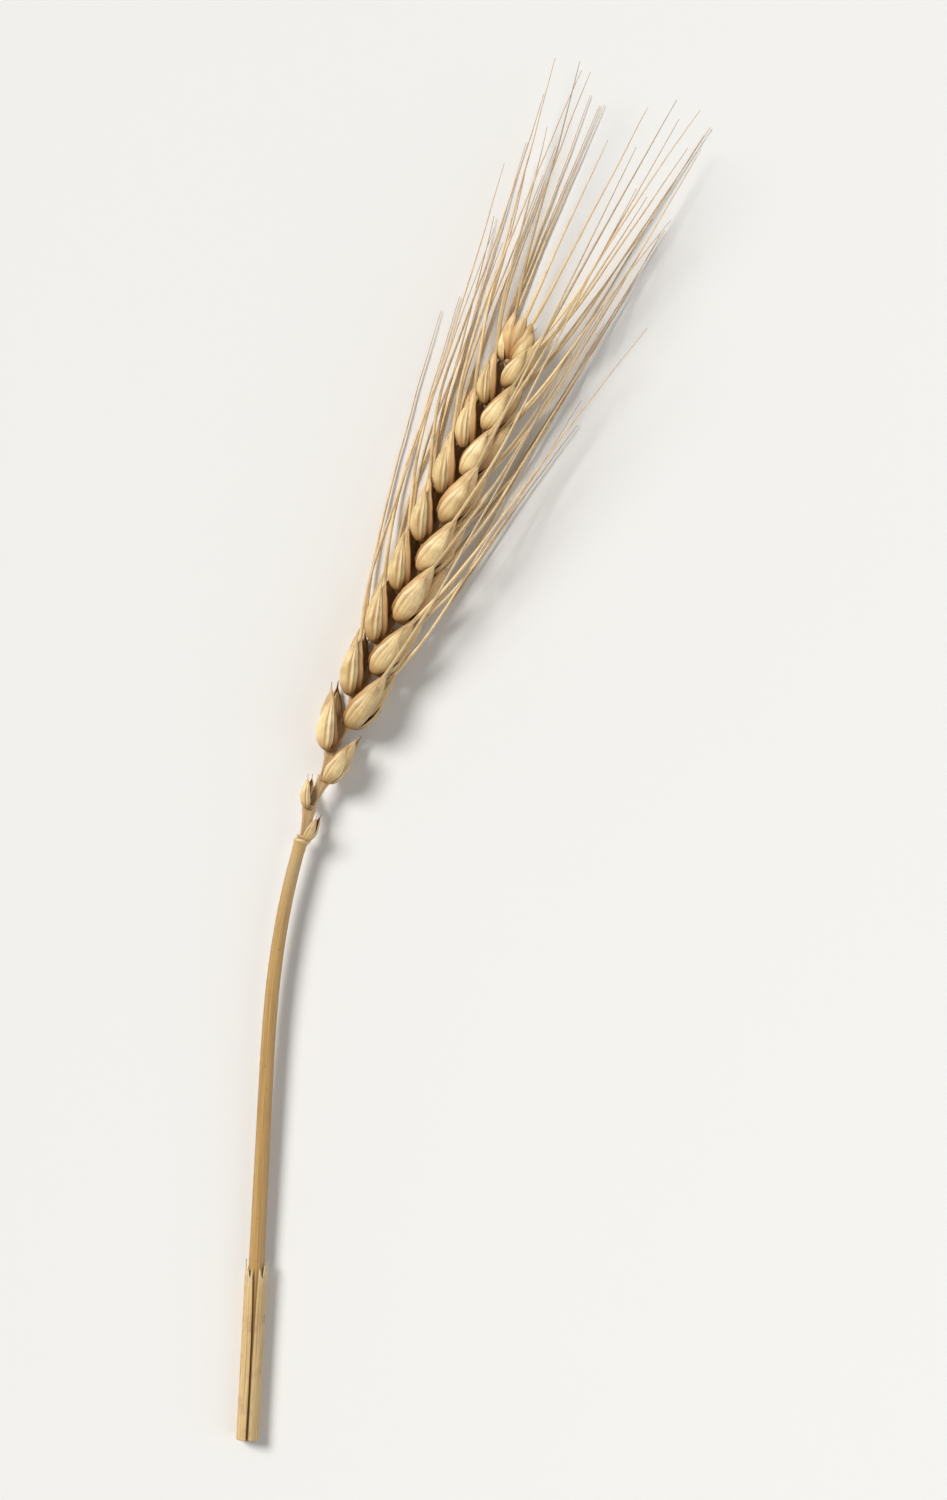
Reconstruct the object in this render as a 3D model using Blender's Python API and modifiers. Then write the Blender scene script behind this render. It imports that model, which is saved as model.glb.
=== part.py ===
"""A bearded wheat ear on its cut stalk, lying on a flat surface.

The stalk runs along +Y from its cut end and bends gently towards +X below
the head. The head is a two-rowed ear: small spikelets, each a fan of husks,
sit left and right by turns on a jointed middle stem, and the fertile husks
end in long bristles. A leaf sheath clasps the lower stalk. The origin is on
the surface, under the middle of the part. Lengths are in metres.
"""

import math
import random

import bmesh
import bpy
from mathutils import Matrix, Vector

MM = 0.001
UP = Vector((0.0, 0.0, 1.0))
SEED = 7

# Where the stalk lies: its cut end, its height over the surface, its bend
CUT_END_X = -35.67 * MM
CUT_END_Y = -108.79 * MM
CUT_END_HEIGHT = 1.79 * MM
HEAD_HEIGHT = 4.05 * MM
LEVEL_BY = 125 * MM
LEAN_LOW = math.radians(3)
LEAN_HIGH = math.radians(25)
BEND_START = 55 * MM
BEND_END = 125 * MM
AXIS_STEP = 1 * MM

# Stalk: a hollow straw
STALK_LENGTH = 95 * MM
STALK_RADIUS_LOW = 1.35 * MM
STALK_RADIUS_HIGH = 1.02 * MM
STRAW_WALL = 0.45 * MM
STALK_PIECE = 5 * MM
STALK_ROUNDNESS = 3
BORE_OVERRUN = 1 * MM
JOINT_GAP = 0.15 * MM

# Leaf sheath round the lower stalk
SHEATH_LENGTH = 27 * MM
SHEATH_RADIUS = 1.85 * MM
SHEATH_WALL = 0.3 * MM
SHEATH_SPLIT = math.radians(26)
SHEATH_SPLIT_MOUTH = math.radians(70)
SHEATH_FACETS = 22
SHEATH_RINGS = 9
TEAR_DEPTH = 1.3 * MM
TEAR_WAVES = 5
FINE_TEAR_WAVES = 11
FINE_TEAR_SHARE = 0.6

# Head
SPIKELETS = 20
JOINT_SPACING_LOW = 5.0 * MM
JOINT_SPACING_TOP = 3.6 * MM
ROLL_LOW = math.radians(6)
ROLL_TOP = math.radians(24)
ZIGZAG = 0.35 * MM
RACHIS_RADIUS_LOW = 0.95 * MM
RACHIS_RADIUS_TOP = 0.5 * MM
RACHIS_ROUNDNESS = 1
COLLARS = 5
COLLAR_RADIUS = 1.3 * MM
COLLAR_FOOT_SHARE = 0.72
LAST_COLLAR_SHARE = 0.84
COLLAR_HEIGHT = 0.8 * MM
COLLAR_SIDES = 8
SMALLEST_SPIKELET = 0.5
FULL_SIZE_BY = 0.2
TOP_SPIKELET = 0.76
TAPERS_FROM = 0.55
FIRST_WITH_FLORETS = 2
FIRST_WITH_AWNS = 4

# Husks of a full-size spikelet, in millimetres and degrees: length, width and
# depth, place of the root (along, out, to the face), lean (out, to the face)
GLUME = {"size": (8.8, 4.1, 2.0), "root": (-0.6, -0.3, 1.0), "lean": (16, 14)}
FLORET = {"size": (10.4, 4.1, 3.3), "root": (-0.1, 0.1, 0.6), "lean": (17, 10)}
TOP_FLORET = {"size": (9.8, 3.6, 3.0), "root": (1.4, 0.6, 0.0), "lean": (20, 0)}
GLUME_BACK = (0.55, 0.8)
FLORET_BACK = (0.7, 0.7)
TOP_FLORET_BACK = (1, 0)
LEAN_JITTER = 2.5
SIZE_JITTER = 0.05
HUSK_FACETS = 6
HUSK_RINGS = 5
HUSK_FULLNESS = 0.72
HUSK_BELLY = 0.7
BACK_SHARE = 0.62
BOW = 0.2

# Pad that a full-size spikelet stands on, in millimetres: half its size out,
# to the face and along, and how far out its middle is
SEAT = (1.05, 1.25, 0.8)
SEAT_OUT = 0.45
SEAT_FACETS = 5
SEAT_RINGS = 3

# Bristles (awns): longest just above the middle of the head. They leave the
# husk along it and turn to their own lean, in degrees from the head's middle
AWN_LENGTH = 60 * MM
SHORTEST_AWN = 0.55
AWN_PROFILE = (0.15, 0.9)
AWN_LENGTH_RANGE = (0.88, 1.08)
TOP_FLORET_AWN = 0.72
AWN_ROOT_RADIUS = 0.27 * MM
AWN_TIP_RADIUS = 0.1 * MM
AWN_SINK = 1.6 * MM
AWN_PIECES = 4
AWN_ROOT_CROWDING = 1.6
AWN_STEPS = 30
AWN_TURN = (0.03, 0.4)
AWN_LEAN = (3, 12)
AWN_CURL = (-5, 7)
AWN_SWING = 22

# Bristles that would reach the surface ease level with it
AWN_CLEARANCE = 0.3 * MM
AWN_SOFTNESS = 1.0 * MM
AWN_EASE_BY = 0.2

CUTTER_SIZE = 0.5
WELD = 0.001 * MM
CREASE = math.radians(40)

HUSK_COLOUR = (0.63, 0.43, 0.19)
STALK_COLOUR = (0.50, 0.34, 0.15)
SHEATH_COLOUR = (0.58, 0.42, 0.21)


def draw(low, high, *key):
    """The same number between low and high each time for the same key."""
    return random.Random(f"{SEED} {key}").uniform(low, high)


def smooth(x, low, high):
    """0 below low, 1 above high, with a smooth rise between them."""
    f = min(max((x - low) / (high - low), 0.0), 1.0)
    return f * f * (3 - 2 * f)


def mix(a, b, share):
    return a + (b - a) * share


def axis_point(s):
    """The point of the plant's middle line at a length s from the cut end."""
    x, y = CUT_END_X, CUT_END_Y
    steps = max(1, math.ceil(abs(s) / AXIS_STEP))
    step = s / steps
    for i in range(steps):
        bend = smooth((i + 0.5) * step, BEND_START, BEND_END)
        lean = mix(LEAN_LOW, LEAN_HIGH, bend)
        x += math.sin(lean) * step
        y += math.cos(lean) * step
    return Vector((x, y, mix(CUT_END_HEIGHT, HEAD_HEIGHT, smooth(s, 0, LEVEL_BY))))


def axis_frame(s, roll=0.0):
    """Out to the right row, out of the face, and along, at a length s."""
    along = (axis_point(s + AXIS_STEP) - axis_point(s - AXIS_STEP)).normalized()
    right = along.cross(UP).normalized()
    turn = Matrix.Rotation(-roll, 3, along)
    return turn @ right, turn @ right.cross(along), along


def joints():
    """Lengths from the cut end to each joint of the head."""
    places = [STALK_LENGTH + JOINT_GAP + COLLAR_HEIGHT / 2]
    for i in range(SPIKELETS - 1):
        share = i / (SPIKELETS - 2)
        places.append(places[-1] + mix(JOINT_SPACING_LOW, JOINT_SPACING_TOP, share))
    return places


def side(i):
    """+1 for a spikelet of the right row, -1 for one of the left row."""
    return 1 if i % 2 == 0 else -1


def joint_frame(s):
    """The axis frame at a joint. The head is twisted a little as it grows."""
    head_length = SPIKELETS * (JOINT_SPACING_LOW + JOINT_SPACING_TOP) / 2
    return axis_frame(s, mix(ROLL_LOW, ROLL_TOP, (s - STALK_LENGTH) / head_length))


def joint_point(i, s):
    return axis_point(s) + joint_frame(s)[0] * side(i) * ZIGZAG


def spikelet_size(i):
    share = i / (SPIKELETS - 1)
    grown = mix(SMALLEST_SPIKELET, 1.0, smooth(share, 0, FULL_SIZE_BY))
    return grown * mix(1.0, TOP_SPIKELET, smooth(share, TAPERS_FROM, 1))


def husk_matrix(root, direction, back):
    """Z runs along the husk from its root, and Y points out of its back."""
    z = direction.normalized()
    y = (back - back.dot(z) * z).normalized()
    matrix = Matrix((y.cross(z), y, z)).transposed().to_4x4()
    matrix.translation = root
    return matrix


def husk(i, name, kind, face_sign, back_shares, frame):
    """One husk of spikelet i: its matrix, its size and its name."""
    root, out, face, along, size = frame
    tall, outward, sideways = (x * size * MM for x in kind["root"])
    lean_out = kind["lean"][0] + draw(-LEAN_JITTER, LEAN_JITTER, i, name, "out")
    lean_face = kind["lean"][1] * face_sign
    lean_face += draw(-LEAN_JITTER, LEAN_JITTER, i, name, "face")
    direction = (
        along
        + out * math.tan(math.radians(lean_out))
        + face * math.tan(math.radians(lean_face))
    )
    back = out * back_shares[0] + face * back_shares[1] * face_sign
    place = root + along * tall + out * outward + face * sideways * face_sign
    scale = size * (1 + draw(-SIZE_JITTER, SIZE_JITTER, i, name, "size")) * MM
    return {
        "name": f"{name}_{i}",
        "spikelet": i,
        "matrix": husk_matrix(place, direction, back),
        "size": [x * scale for x in kind["size"]],
        "along": along,
    }


def spikelet(i, s):
    """The husks of spikelet i, near and far from the face that looks up.

    The topmost spikelet is turned a quarter round.
    """
    right, face, along = joint_frame(s)
    out = right * side(i)
    if i == SPIKELETS - 1:
        out, face = face, right
    frame = (joint_point(i, s), out, face, along, spikelet_size(i))
    husks = [
        husk(i, f"{which}_glume", GLUME, sign, GLUME_BACK, frame)
        for which, sign in (("near", 1), ("far", -1))
    ]
    if i >= FIRST_WITH_FLORETS:
        husks += [
            husk(i, f"{which}_floret", FLORET, sign, FLORET_BACK, frame)
            for which, sign in (("near", 1), ("far", -1))
        ]
    if i >= FIRST_WITH_AWNS:
        husks.append(husk(i, "top_floret", TOP_FLORET, 0, TOP_FLORET_BACK, frame))
    return husks


def all_husks():
    return [h for i, s in enumerate(joints()) for h in spikelet(i, s)]


def husk_point(h, share, across, around):
    """A point of a husk: share runs from root to tip, around from its side."""
    length, width, depth = h["size"]
    outline = max(math.sin(math.pi * share**HUSK_BELLY), 0.0) ** HUSK_FULLNESS
    back = BACK_SHARE if math.sin(around) > 0 else 1 - BACK_SHARE
    bow = BOW * depth * math.sin(math.pi * share)
    return h["matrix"] @ Vector(
        (
            across * outline * width / 2 * math.cos(around),
            across * outline * depth * back * math.sin(around) + bow,
            length * share,
        )
    )


def awn_length(h):
    share = h["spikelet"] / (SPIKELETS - 1)
    length = AWN_LENGTH * draw(*AWN_LENGTH_RANGE, h["name"], "length")
    length *= mix(SHORTEST_AWN, 1.0, math.sin(math.pi * mix(*AWN_PROFILE, share)))
    if h["name"].startswith("top_floret"):
        length *= TOP_FLORET_AWN
    return length


def awn_path(h):
    """Points of the bristle that runs on from the tip of a floret's husk."""
    name, along = h["name"], h["along"]
    direction = h["matrix"].to_3x3() @ Vector((0, 0, 1))
    lean = direction.angle(along)
    aside = (direction - direction.dot(along) * along).normalized()
    swing = math.radians(draw(-AWN_SWING, AWN_SWING, name, "swing"))
    aside = Matrix.Rotation(swing, 3, along) @ aside
    final = math.radians(draw(*AWN_LEAN, name, "lean"))
    curl = math.radians(draw(*AWN_CURL, name, "curl"))
    point = h["matrix"] @ Vector((0, 0, h["size"][0])) - direction * AWN_SINK
    step = (awn_length(h) + AWN_SINK) / AWN_STEPS
    points = [point.copy()]
    for n in range(AWN_STEPS):
        run = (n + 0.5) / AWN_STEPS
        tilt = mix(lean, final, smooth(run, *AWN_TURN)) + curl * run * run
        point = point + (along * math.cos(tilt) + aside * math.sin(tilt)) * step
        points.append(point.copy())
    for n, point in enumerate(points):
        above = point.z - AWN_CLEARANCE
        eased = AWN_CLEARANCE + 0.5 * (above + math.hypot(above, AWN_SOFTNESS))
        point.z = mix(point.z, eased, smooth(n / AWN_STEPS, 0, AWN_EASE_BY))
    return points


def straw_material(name, colour, roughness):
    material = bpy.data.materials.new(name)
    material.use_nodes = True
    shader = material.node_tree.nodes["Principled BSDF"]
    shader.inputs["Base Color"].default_value = (*colour, 1.0)
    shader.inputs["Roughness"].default_value = roughness
    shader.inputs["Metallic"].default_value = 0.0
    return material


def link_mesh(name, mesh, collection):
    obj = bpy.data.objects.new(name, mesh)
    collection.objects.link(obj)
    return obj


def husk_object(h, collection):
    """A ball drawn out to a husk: pointed, fuller below, flat on its inside."""
    shape = bmesh.new()
    bmesh.ops.create_uvsphere(
        shape, u_segments=HUSK_FACETS, v_segments=HUSK_RINGS, radius=1.0
    )
    for vertex in shape.verts:
        share = (vertex.co.z + 1) / 2
        around = math.atan2(vertex.co.y, vertex.co.x)
        at_end = share < 1e-4 or share > 1 - 1e-4
        across = 0.0 if at_end else 1.0
        vertex.co = husk_point(h, share, across, around)
    mesh = bpy.data.meshes.new(h["name"])
    shape.to_mesh(mesh)
    shape.free()
    return link_mesh(h["name"], mesh, collection)


def rod(name, points, radii, roundness, collection):
    """A closed round rod along the points, as a mesh."""
    curve = bpy.data.curves.new(name, "CURVE")
    curve.dimensions = "3D"
    curve.bevel_depth = 1.0
    curve.bevel_resolution = roundness
    curve.use_fill_caps = True
    spline = curve.splines.new("POLY")
    spline.points.add(len(points) - 1)
    for place, point, radius in zip(spline.points, points, radii):
        place.co = (*point, 1.0)
        place.radius = radius
    drawn = bpy.data.objects.new(name, curve)
    collection.objects.link(drawn)
    bpy.context.view_layer.update()
    graph = bpy.context.evaluated_depsgraph_get()
    mesh = bpy.data.meshes.new_from_object(drawn.evaluated_get(graph))
    bpy.data.objects.remove(drawn)
    bpy.data.curves.remove(curve)
    shape = bmesh.new()
    shape.from_mesh(mesh)
    bmesh.ops.remove_doubles(shape, verts=shape.verts, dist=WELD)
    bmesh.ops.recalc_face_normals(shape, faces=shape.faces)
    shape.to_mesh(mesh)
    shape.free()
    return link_mesh(name, mesh, collection)


def awn_object(h, collection):
    """A bristle, with its points closer together where it bends away."""
    points = awn_path(h)
    shares = [(n / AWN_PIECES) ** AWN_ROOT_CROWDING for n in range(AWN_PIECES + 1)]
    chosen = [points[round(share * AWN_STEPS)] for share in shares]
    radii = [mix(AWN_ROOT_RADIUS, AWN_TIP_RADIUS, share) for share in shares]
    return rod("awn_" + h["name"], chosen, radii, 0, collection)


def seat_object(i, s, collection):
    """The small pad on a joint that the husks of one spikelet stand on."""
    shape = bmesh.new()
    bmesh.ops.create_uvsphere(
        shape, u_segments=SEAT_FACETS, v_segments=SEAT_RINGS, radius=1.0
    )
    out, face, along = joint_frame(s)
    size = spikelet_size(i) * MM
    place = joint_point(i, s) + out * side(i) * SEAT_OUT * size
    for vertex in shape.verts:
        x, y, z = (a * b * size for a, b in zip(vertex.co, SEAT))
        vertex.co = place + out * x + face * y + along * z
    mesh = bpy.data.meshes.new("seat")
    shape.to_mesh(mesh)
    shape.free()
    return link_mesh(f"seat_{i}", mesh, collection)


def collar_object(i, s, collection):
    """The swollen rim that ends a segment of the head's middle stem."""
    shape = bmesh.new()
    radius = COLLAR_RADIUS * mix(1.0, LAST_COLLAR_SHARE, i / (COLLARS - 1))
    bmesh.ops.create_cone(
        shape,
        cap_ends=True,
        segments=COLLAR_SIDES,
        radius1=radius * COLLAR_FOOT_SHARE,
        radius2=radius,
        depth=COLLAR_HEIGHT,
    )
    _, face, along = joint_frame(s)
    place = husk_matrix(joint_point(i, s), along, face)
    bmesh.ops.transform(shape, matrix=place, verts=shape.verts)
    mesh = bpy.data.meshes.new("collar")
    shape.to_mesh(mesh)
    shape.free()
    return link_mesh(f"collar_{i}", mesh, collection)


def rachis_object(collection):
    """The jointed middle stem of the head, stepping from side to side."""
    places = joints()
    points = [joint_point(i, s) for i, s in enumerate(places)]
    last = len(places) - 1
    radii = [
        mix(RACHIS_RADIUS_LOW, RACHIS_RADIUS_TOP, i / last) for i in range(last + 1)
    ]
    return rod("rachis", points, radii, RACHIS_ROUNDNESS, collection)


def surface_cutter(collection):
    """A block under the surface, which flattens what would reach below it."""
    bpy.ops.mesh.primitive_cube_add(size=CUTTER_SIZE)
    cutter = bpy.context.object
    cutter.name = "surface_cutter"
    for vertex in cutter.data.vertices:
        vertex.co.z -= CUTTER_SIZE / 2
    for old in list(cutter.users_collection):
        old.objects.unlink(cutter)
    collection.objects.link(cutter)
    cutter.hide_render = True
    cutter.display_type = "WIRE"
    return cutter


def shade_round(mesh):
    mesh.shade_smooth()
    mesh.set_sharp_from_angle(angle=CREASE)


def cut(obj, cutter):
    modifier = obj.modifiers.new("cut " + cutter.name, "BOOLEAN")
    modifier.operation = "DIFFERENCE"
    modifier.solver = "EXACT"
    modifier.object = cutter


def apply_modifiers(obj):
    bpy.context.view_layer.update()
    graph = bpy.context.evaluated_depsgraph_get()
    mesh = bpy.data.meshes.new_from_object(obj.evaluated_get(graph))
    obj.modifiers.clear()
    obj.data = mesh


def connected(start):
    """Every vertex that edges join to the start."""
    found = {start}
    waiting = [start]
    while waiting:
        vertex = waiting.pop()
        for edge in vertex.link_edges:
            other = edge.other_vert(vertex)
            if other not in found:
                found.add(other)
                waiting.append(other)
    return found


def fill_inner_gaps(obj):
    """Keep the outer skin and drop the specks of space shut in behind husks."""
    shape = bmesh.new()
    shape.from_mesh(obj.data)
    skin = connected(max(shape.verts, key=lambda vertex: vertex.co.y))
    inner = [vertex for vertex in shape.verts if vertex not in skin]
    bmesh.ops.delete(shape, geom=inner, context="VERTS")
    shape.to_mesh(obj.data)
    shape.free()


def make_head(collection, cutter):
    """Every husk, bristle and collar fused to the head's middle stem."""
    repeats = bpy.data.collections.new("head repeats")
    bpy.context.scene.collection.children.link(repeats)
    for h in all_husks():
        husk_object(h, repeats)
        if "floret" in h["name"] and h["spikelet"] >= FIRST_WITH_AWNS:
            awn_object(h, repeats)
    for i, s in enumerate(joints()):
        seat_object(i, s, repeats)
        if i < COLLARS:
            collar_object(i, s, repeats)
    head = rachis_object(collection)
    head.name = "ear_head"
    union = head.modifiers.new("fuse the repeats", "BOOLEAN")
    union.operation = "UNION"
    union.operand_type = "COLLECTION"
    union.collection = repeats
    union.solver = "EXACT"
    apply_modifiers(head)
    fill_inner_gaps(head)
    for obj in list(repeats.objects):
        bpy.data.objects.remove(obj)
    bpy.data.collections.remove(repeats)
    shade_round(head.data)
    cut(head, cutter)
    head.data.materials.clear()
    head.data.materials.append(straw_material("husk straw", HUSK_COLOUR, 0.5))
    return head


def stalk_radius(s):
    return mix(STALK_RADIUS_LOW, STALK_RADIUS_HIGH, s / STALK_LENGTH)


def make_stalk(collection, cutters):
    """The straw, hollow from its cut end to just below the head."""
    count = round(STALK_LENGTH / STALK_PIECE)
    places = [n * STALK_LENGTH / count for n in range(count + 1)]
    stalk = rod(
        "stalk",
        [axis_point(s) for s in places],
        [stalk_radius(s) for s in places],
        STALK_ROUNDNESS,
        collection,
    )
    inner = [-BORE_OVERRUN, *places[1:-1], STALK_LENGTH - STRAW_WALL * 2]
    bore = rod(
        "straw_bore",
        [axis_point(s) for s in inner],
        [stalk_radius(s) - STRAW_WALL for s in inner],
        STALK_ROUNDNESS,
        cutters,
    )
    bore.hide_render = True
    bore.display_type = "WIRE"
    shade_round(stalk.data)
    cut(stalk, bore)
    stalk.data.materials.append(straw_material("stalk straw", STALK_COLOUR, 0.45))
    return stalk


def sheath_point(share, turned):
    """A point of the sheath: share runs up it, turned from edge to edge."""
    split = mix(SHEATH_SPLIT, SHEATH_SPLIT_MOUTH, share**4)
    angle = math.pi / 2 + split / 2 + (2 * math.pi - split) * turned
    torn = math.sin(TEAR_WAVES * angle)
    torn += FINE_TEAR_SHARE * math.sin(FINE_TEAR_WAVES * angle + 1)
    s = SHEATH_LENGTH * share + TEAR_DEPTH * torn * share**6
    right, face, _ = axis_frame(s)
    spoke = right * math.cos(angle) + face * math.sin(angle)
    return axis_point(s) + spoke * SHEATH_RADIUS


def make_sheath(collection, cutter):
    """A tube split along its upper side, with a torn mouth, round the stalk."""
    shape = bmesh.new()
    rows = [
        [
            shape.verts.new(sheath_point(ring / SHEATH_RINGS, n / SHEATH_FACETS))
            for n in range(SHEATH_FACETS + 1)
        ]
        for ring in range(SHEATH_RINGS + 1)
    ]
    for low, high in zip(rows, rows[1:]):
        for n in range(SHEATH_FACETS):
            shape.faces.new((low[n], low[n + 1], high[n + 1], high[n]))
    mesh = bpy.data.meshes.new("leaf_sheath")
    shape.to_mesh(mesh)
    shape.free()
    sheath = link_mesh("leaf_sheath", mesh, collection)
    wall = sheath.modifiers.new("wall", "SOLIDIFY")
    wall.thickness = SHEATH_WALL
    wall.offset = 1.0
    cut(sheath, cutter)
    shade_round(mesh)
    mesh.materials.append(straw_material("sheath straw", SHEATH_COLOUR, 0.6))
    return sheath


def main():
    for obj in list(bpy.data.objects):
        bpy.data.objects.remove(obj)
    ear = bpy.data.collections.new("wheat ear")
    cutters = bpy.data.collections.new("cutters")
    for collection in (ear, cutters):
        bpy.context.scene.collection.children.link(collection)
    cutter = surface_cutter(cutters)
    make_head(ear, cutter)
    make_stalk(ear, cutters)
    make_sheath(ear, cutter)


main()
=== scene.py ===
"""A ripe bearded wheat ear on its cut stalk, laid on a pale table.

Thin husks are set on the head's jointed middle stem, each fertile husk runs
out into a bristle, and a dry leaf sheath clasps the hollow stalk. Lengths are
in metres unless a name says otherwise.
"""

import math
import random

import bmesh
import bpy
from mathutils import Matrix, Vector


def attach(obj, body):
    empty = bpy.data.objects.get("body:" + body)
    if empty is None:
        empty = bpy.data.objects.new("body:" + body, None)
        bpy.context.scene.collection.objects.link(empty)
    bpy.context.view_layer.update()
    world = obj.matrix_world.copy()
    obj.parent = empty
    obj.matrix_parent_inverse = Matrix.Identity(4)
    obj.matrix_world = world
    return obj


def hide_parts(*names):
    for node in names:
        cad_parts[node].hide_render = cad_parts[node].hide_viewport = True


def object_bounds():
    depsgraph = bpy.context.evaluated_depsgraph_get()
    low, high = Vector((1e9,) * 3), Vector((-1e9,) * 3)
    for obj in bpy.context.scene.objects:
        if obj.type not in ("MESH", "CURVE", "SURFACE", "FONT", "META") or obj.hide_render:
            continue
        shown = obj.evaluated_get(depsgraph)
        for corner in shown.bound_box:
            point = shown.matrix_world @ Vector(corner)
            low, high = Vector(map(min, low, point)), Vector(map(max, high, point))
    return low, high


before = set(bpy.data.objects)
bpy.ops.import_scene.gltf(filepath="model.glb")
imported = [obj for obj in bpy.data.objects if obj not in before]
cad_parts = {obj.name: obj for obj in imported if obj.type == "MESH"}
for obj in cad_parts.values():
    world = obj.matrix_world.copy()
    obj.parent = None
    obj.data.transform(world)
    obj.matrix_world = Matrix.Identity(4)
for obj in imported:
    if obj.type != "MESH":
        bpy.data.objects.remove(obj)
cad_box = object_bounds()

MM = 0.001
UP = Vector((0.0, 0.0, 1.0))
SEED = 7

# Where the stalk lies: its cut end, its height over the surface, its bend
CUT_END_X = -35.67 * MM
CUT_END_Y = -108.79 * MM
CUT_END_HEIGHT = 1.79 * MM
HEAD_HEIGHT = 4.05 * MM
LEVEL_BY = 125 * MM
LEAN_LOW = math.radians(3)
LEAN_HIGH = math.radians(25)
BEND_START = 55 * MM
BEND_END = 125 * MM
AXIS_STEP = 1 * MM

# Stalk: a hollow straw with fine ribs
STALK_LENGTH = 95 * MM
STALK_RADIUS_LOW = 1.35 * MM
STALK_RADIUS_HIGH = 1.02 * MM
STRAW_WALL = 0.42 * MM
STALK_RIBS = 17
STALK_RIB_HEIGHT = 0.022 * MM
STALK_RINGS = 190
JOINT_GAP = 0.15 * MM

# Leaf sheath round the lower stalk
SHEATH_LENGTH = 27 * MM
SHEATH_RADIUS = 1.74 * MM
SHEATH_WALL = 0.14 * MM
SHEATH_SPLIT = math.radians(13)
SHEATH_SPLIT_MOUTH = math.radians(38)
SHEATH_RINGS = 150
SHEATH_COLUMNS = 132
SHEATH_VEINS = 24
SHEATH_VEIN_HEIGHT = 0.05 * MM
SHEATH_VEIN_DRIFT = 3.0
VEIN_ROUNDING = 0.7
VEIN_DRIFT_WAVES = (6.0, 0.4)
VEIN_WEAR_WAVES = (14.0, 1.5)
VEIN_WEAR = (-0.7, 2.3)
VEIN_STRENGTH_RANGE = (0.35, 1.2)
SPLIT_KEPT_TO_MOUTH = 4
TEAR_DEPTH = 0.8 * MM
TEAR_WAVES = 5
FINE_TEAR_WAVES = 11
FINE_TEAR_SHARE = 0.6
TEAR_KEPT_TO_MOUTH = 6
FRAY_DEPTH = 0.5 * MM
FRAY_WAVES = 37
FRAY_CROSS_WAVES = 23
FRAY_KEPT_TO_MOUTH = 20

# Head
SPIKELETS = 20
JOINT_SPACING_LOW = 5.0 * MM
JOINT_SPACING_TOP = 3.6 * MM
ROLL_LOW = math.radians(6)
ROLL_TOP = math.radians(24)
ZIGZAG = 0.35 * MM
RACHIS_RADIUS_LOW = 0.95 * MM
RACHIS_RADIUS_TOP = 0.5 * MM
RACHIS_SWELL = 1.15
RACHIS_HOLLOW = 0.34
HOLLOW_NARROWNESS = 8
NECK_STEP_FROM = -0.6 * MM
COLLARS = 5
COLLAR_RADIUS = 1.3 * MM
LAST_COLLAR_SHARE = 0.84
COLLAR_HEIGHT = 0.8 * MM
SMALLEST_SPIKELET = 0.5
FULL_SIZE_BY = 0.2
TOP_SPIKELET = 0.76
TAPERS_FROM = 0.55
FIRST_WITH_FLORETS = 2
FIRST_WITH_AWNS = 4

# Husks of a full-size spikelet, in millimetres and degrees: length, width and
# depth, place of the root (along, out, to the face), lean (out, to the face)
GLUME = {"size": (8.8, 4.1, 2.0), "root": (-0.6, -0.3, 1.0), "lean": (16, 14)}
FLORET = {"size": (10.4, 4.1, 3.3), "root": (-0.1, 0.1, 0.6), "lean": (17, 10)}
TOP_FLORET = {"size": (9.8, 3.6, 3.0), "root": (1.4, 0.6, 0.0), "lean": (20, 0)}
GLUME_BACK = (0.55, 0.8)
FLORET_BACK = (0.7, 0.7)
TOP_FLORET_BACK = (1, 0)
LEAN_JITTER = 2.5
SIZE_JITTER = 0.05
HUSK_FULLNESS = 0.72
HUSK_BELLY = 0.7
BACK_SHARE = 0.62
BOW = 0.2
HUSK_WALL = 0.09 * MM
HUSK_CRUMPLE = 0.35 * MM

# Relief of a husk, as shares of its width and of its length. The groove is
# nearer the middle than the keel, and the nerves rise from root to tip.
KEEL_WIDTH = 0.035
GROOVE_WIDTH = 0.04
GROOVE_PLACE = 0.7
FLARE_FROM = 0.34
BEAK_TAPER = 0.32
BEAK_ROUNDING = 0.6
NERVE_BENDS = 4.0
NERVE_SWAY = 0.1
NERVE_NARROWNESS = 3
NERVE_RISE = (0.3, 1.0)
NERVE_TIP_RISE = 1.2
NERVE_KEPT_TO_TIP = 8
MERGE_BELOW = 0.0004

# How a thin husk is set against its solid: its width, depth and length against
# the solid's, then how far its root, its tip and all of it are moved out, in
# widths. The keel's place across it is given for each hand.
GLUME_FIT = {"size": (0.80, 1.2, 1.0), "root_out": 0.17, "tip_out": 0.09, "lift": 0.1}
LEMMA_FIT = {"size": (0.96, 0.8, 1.0), "root_out": -0.085}
PALEA_FIT = {"size": (0.88, 0.80, 0.93), "root_out": -0.085}
GLUME_KEELS = {"right": 0.1, "left": 0.8}
MIDDLE_KEELS = {"right": 0.5, "left": 0.5}

# Pad that a full-size spikelet stands on: half sizes in millimetres
SEAT = (1.05, 1.25, 0.8)
SEAT_OUT = 0.45

# Bristles (awns)
AWN_LENGTH = 60 * MM
SHORTEST_AWN = 0.55
AWN_PROFILE = (0.15, 0.9)
AWN_LENGTH_RANGE = (0.88, 1.08)
TOP_FLORET_AWN = 0.72
AWN_ROOT_RADIUS = 0.3 * MM
AWN_TIP_RADIUS = 0.045 * MM
AWN_SINK = 1.6 * MM
AWN_STEPS = 30
AWN_TURN = (0.03, 0.4)
AWN_LEAN = (3, 12)
AWN_CURL = (-5, 7)
AWN_SWING = 22
AWN_CLEARANCE = 0.3 * MM
AWN_SOFTNESS = 1.0 * MM
AWN_EASE_BY = 0.2
AWN_WOBBLE = 0.4 * MM
BRISTLE_TAPER = 0.85

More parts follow.
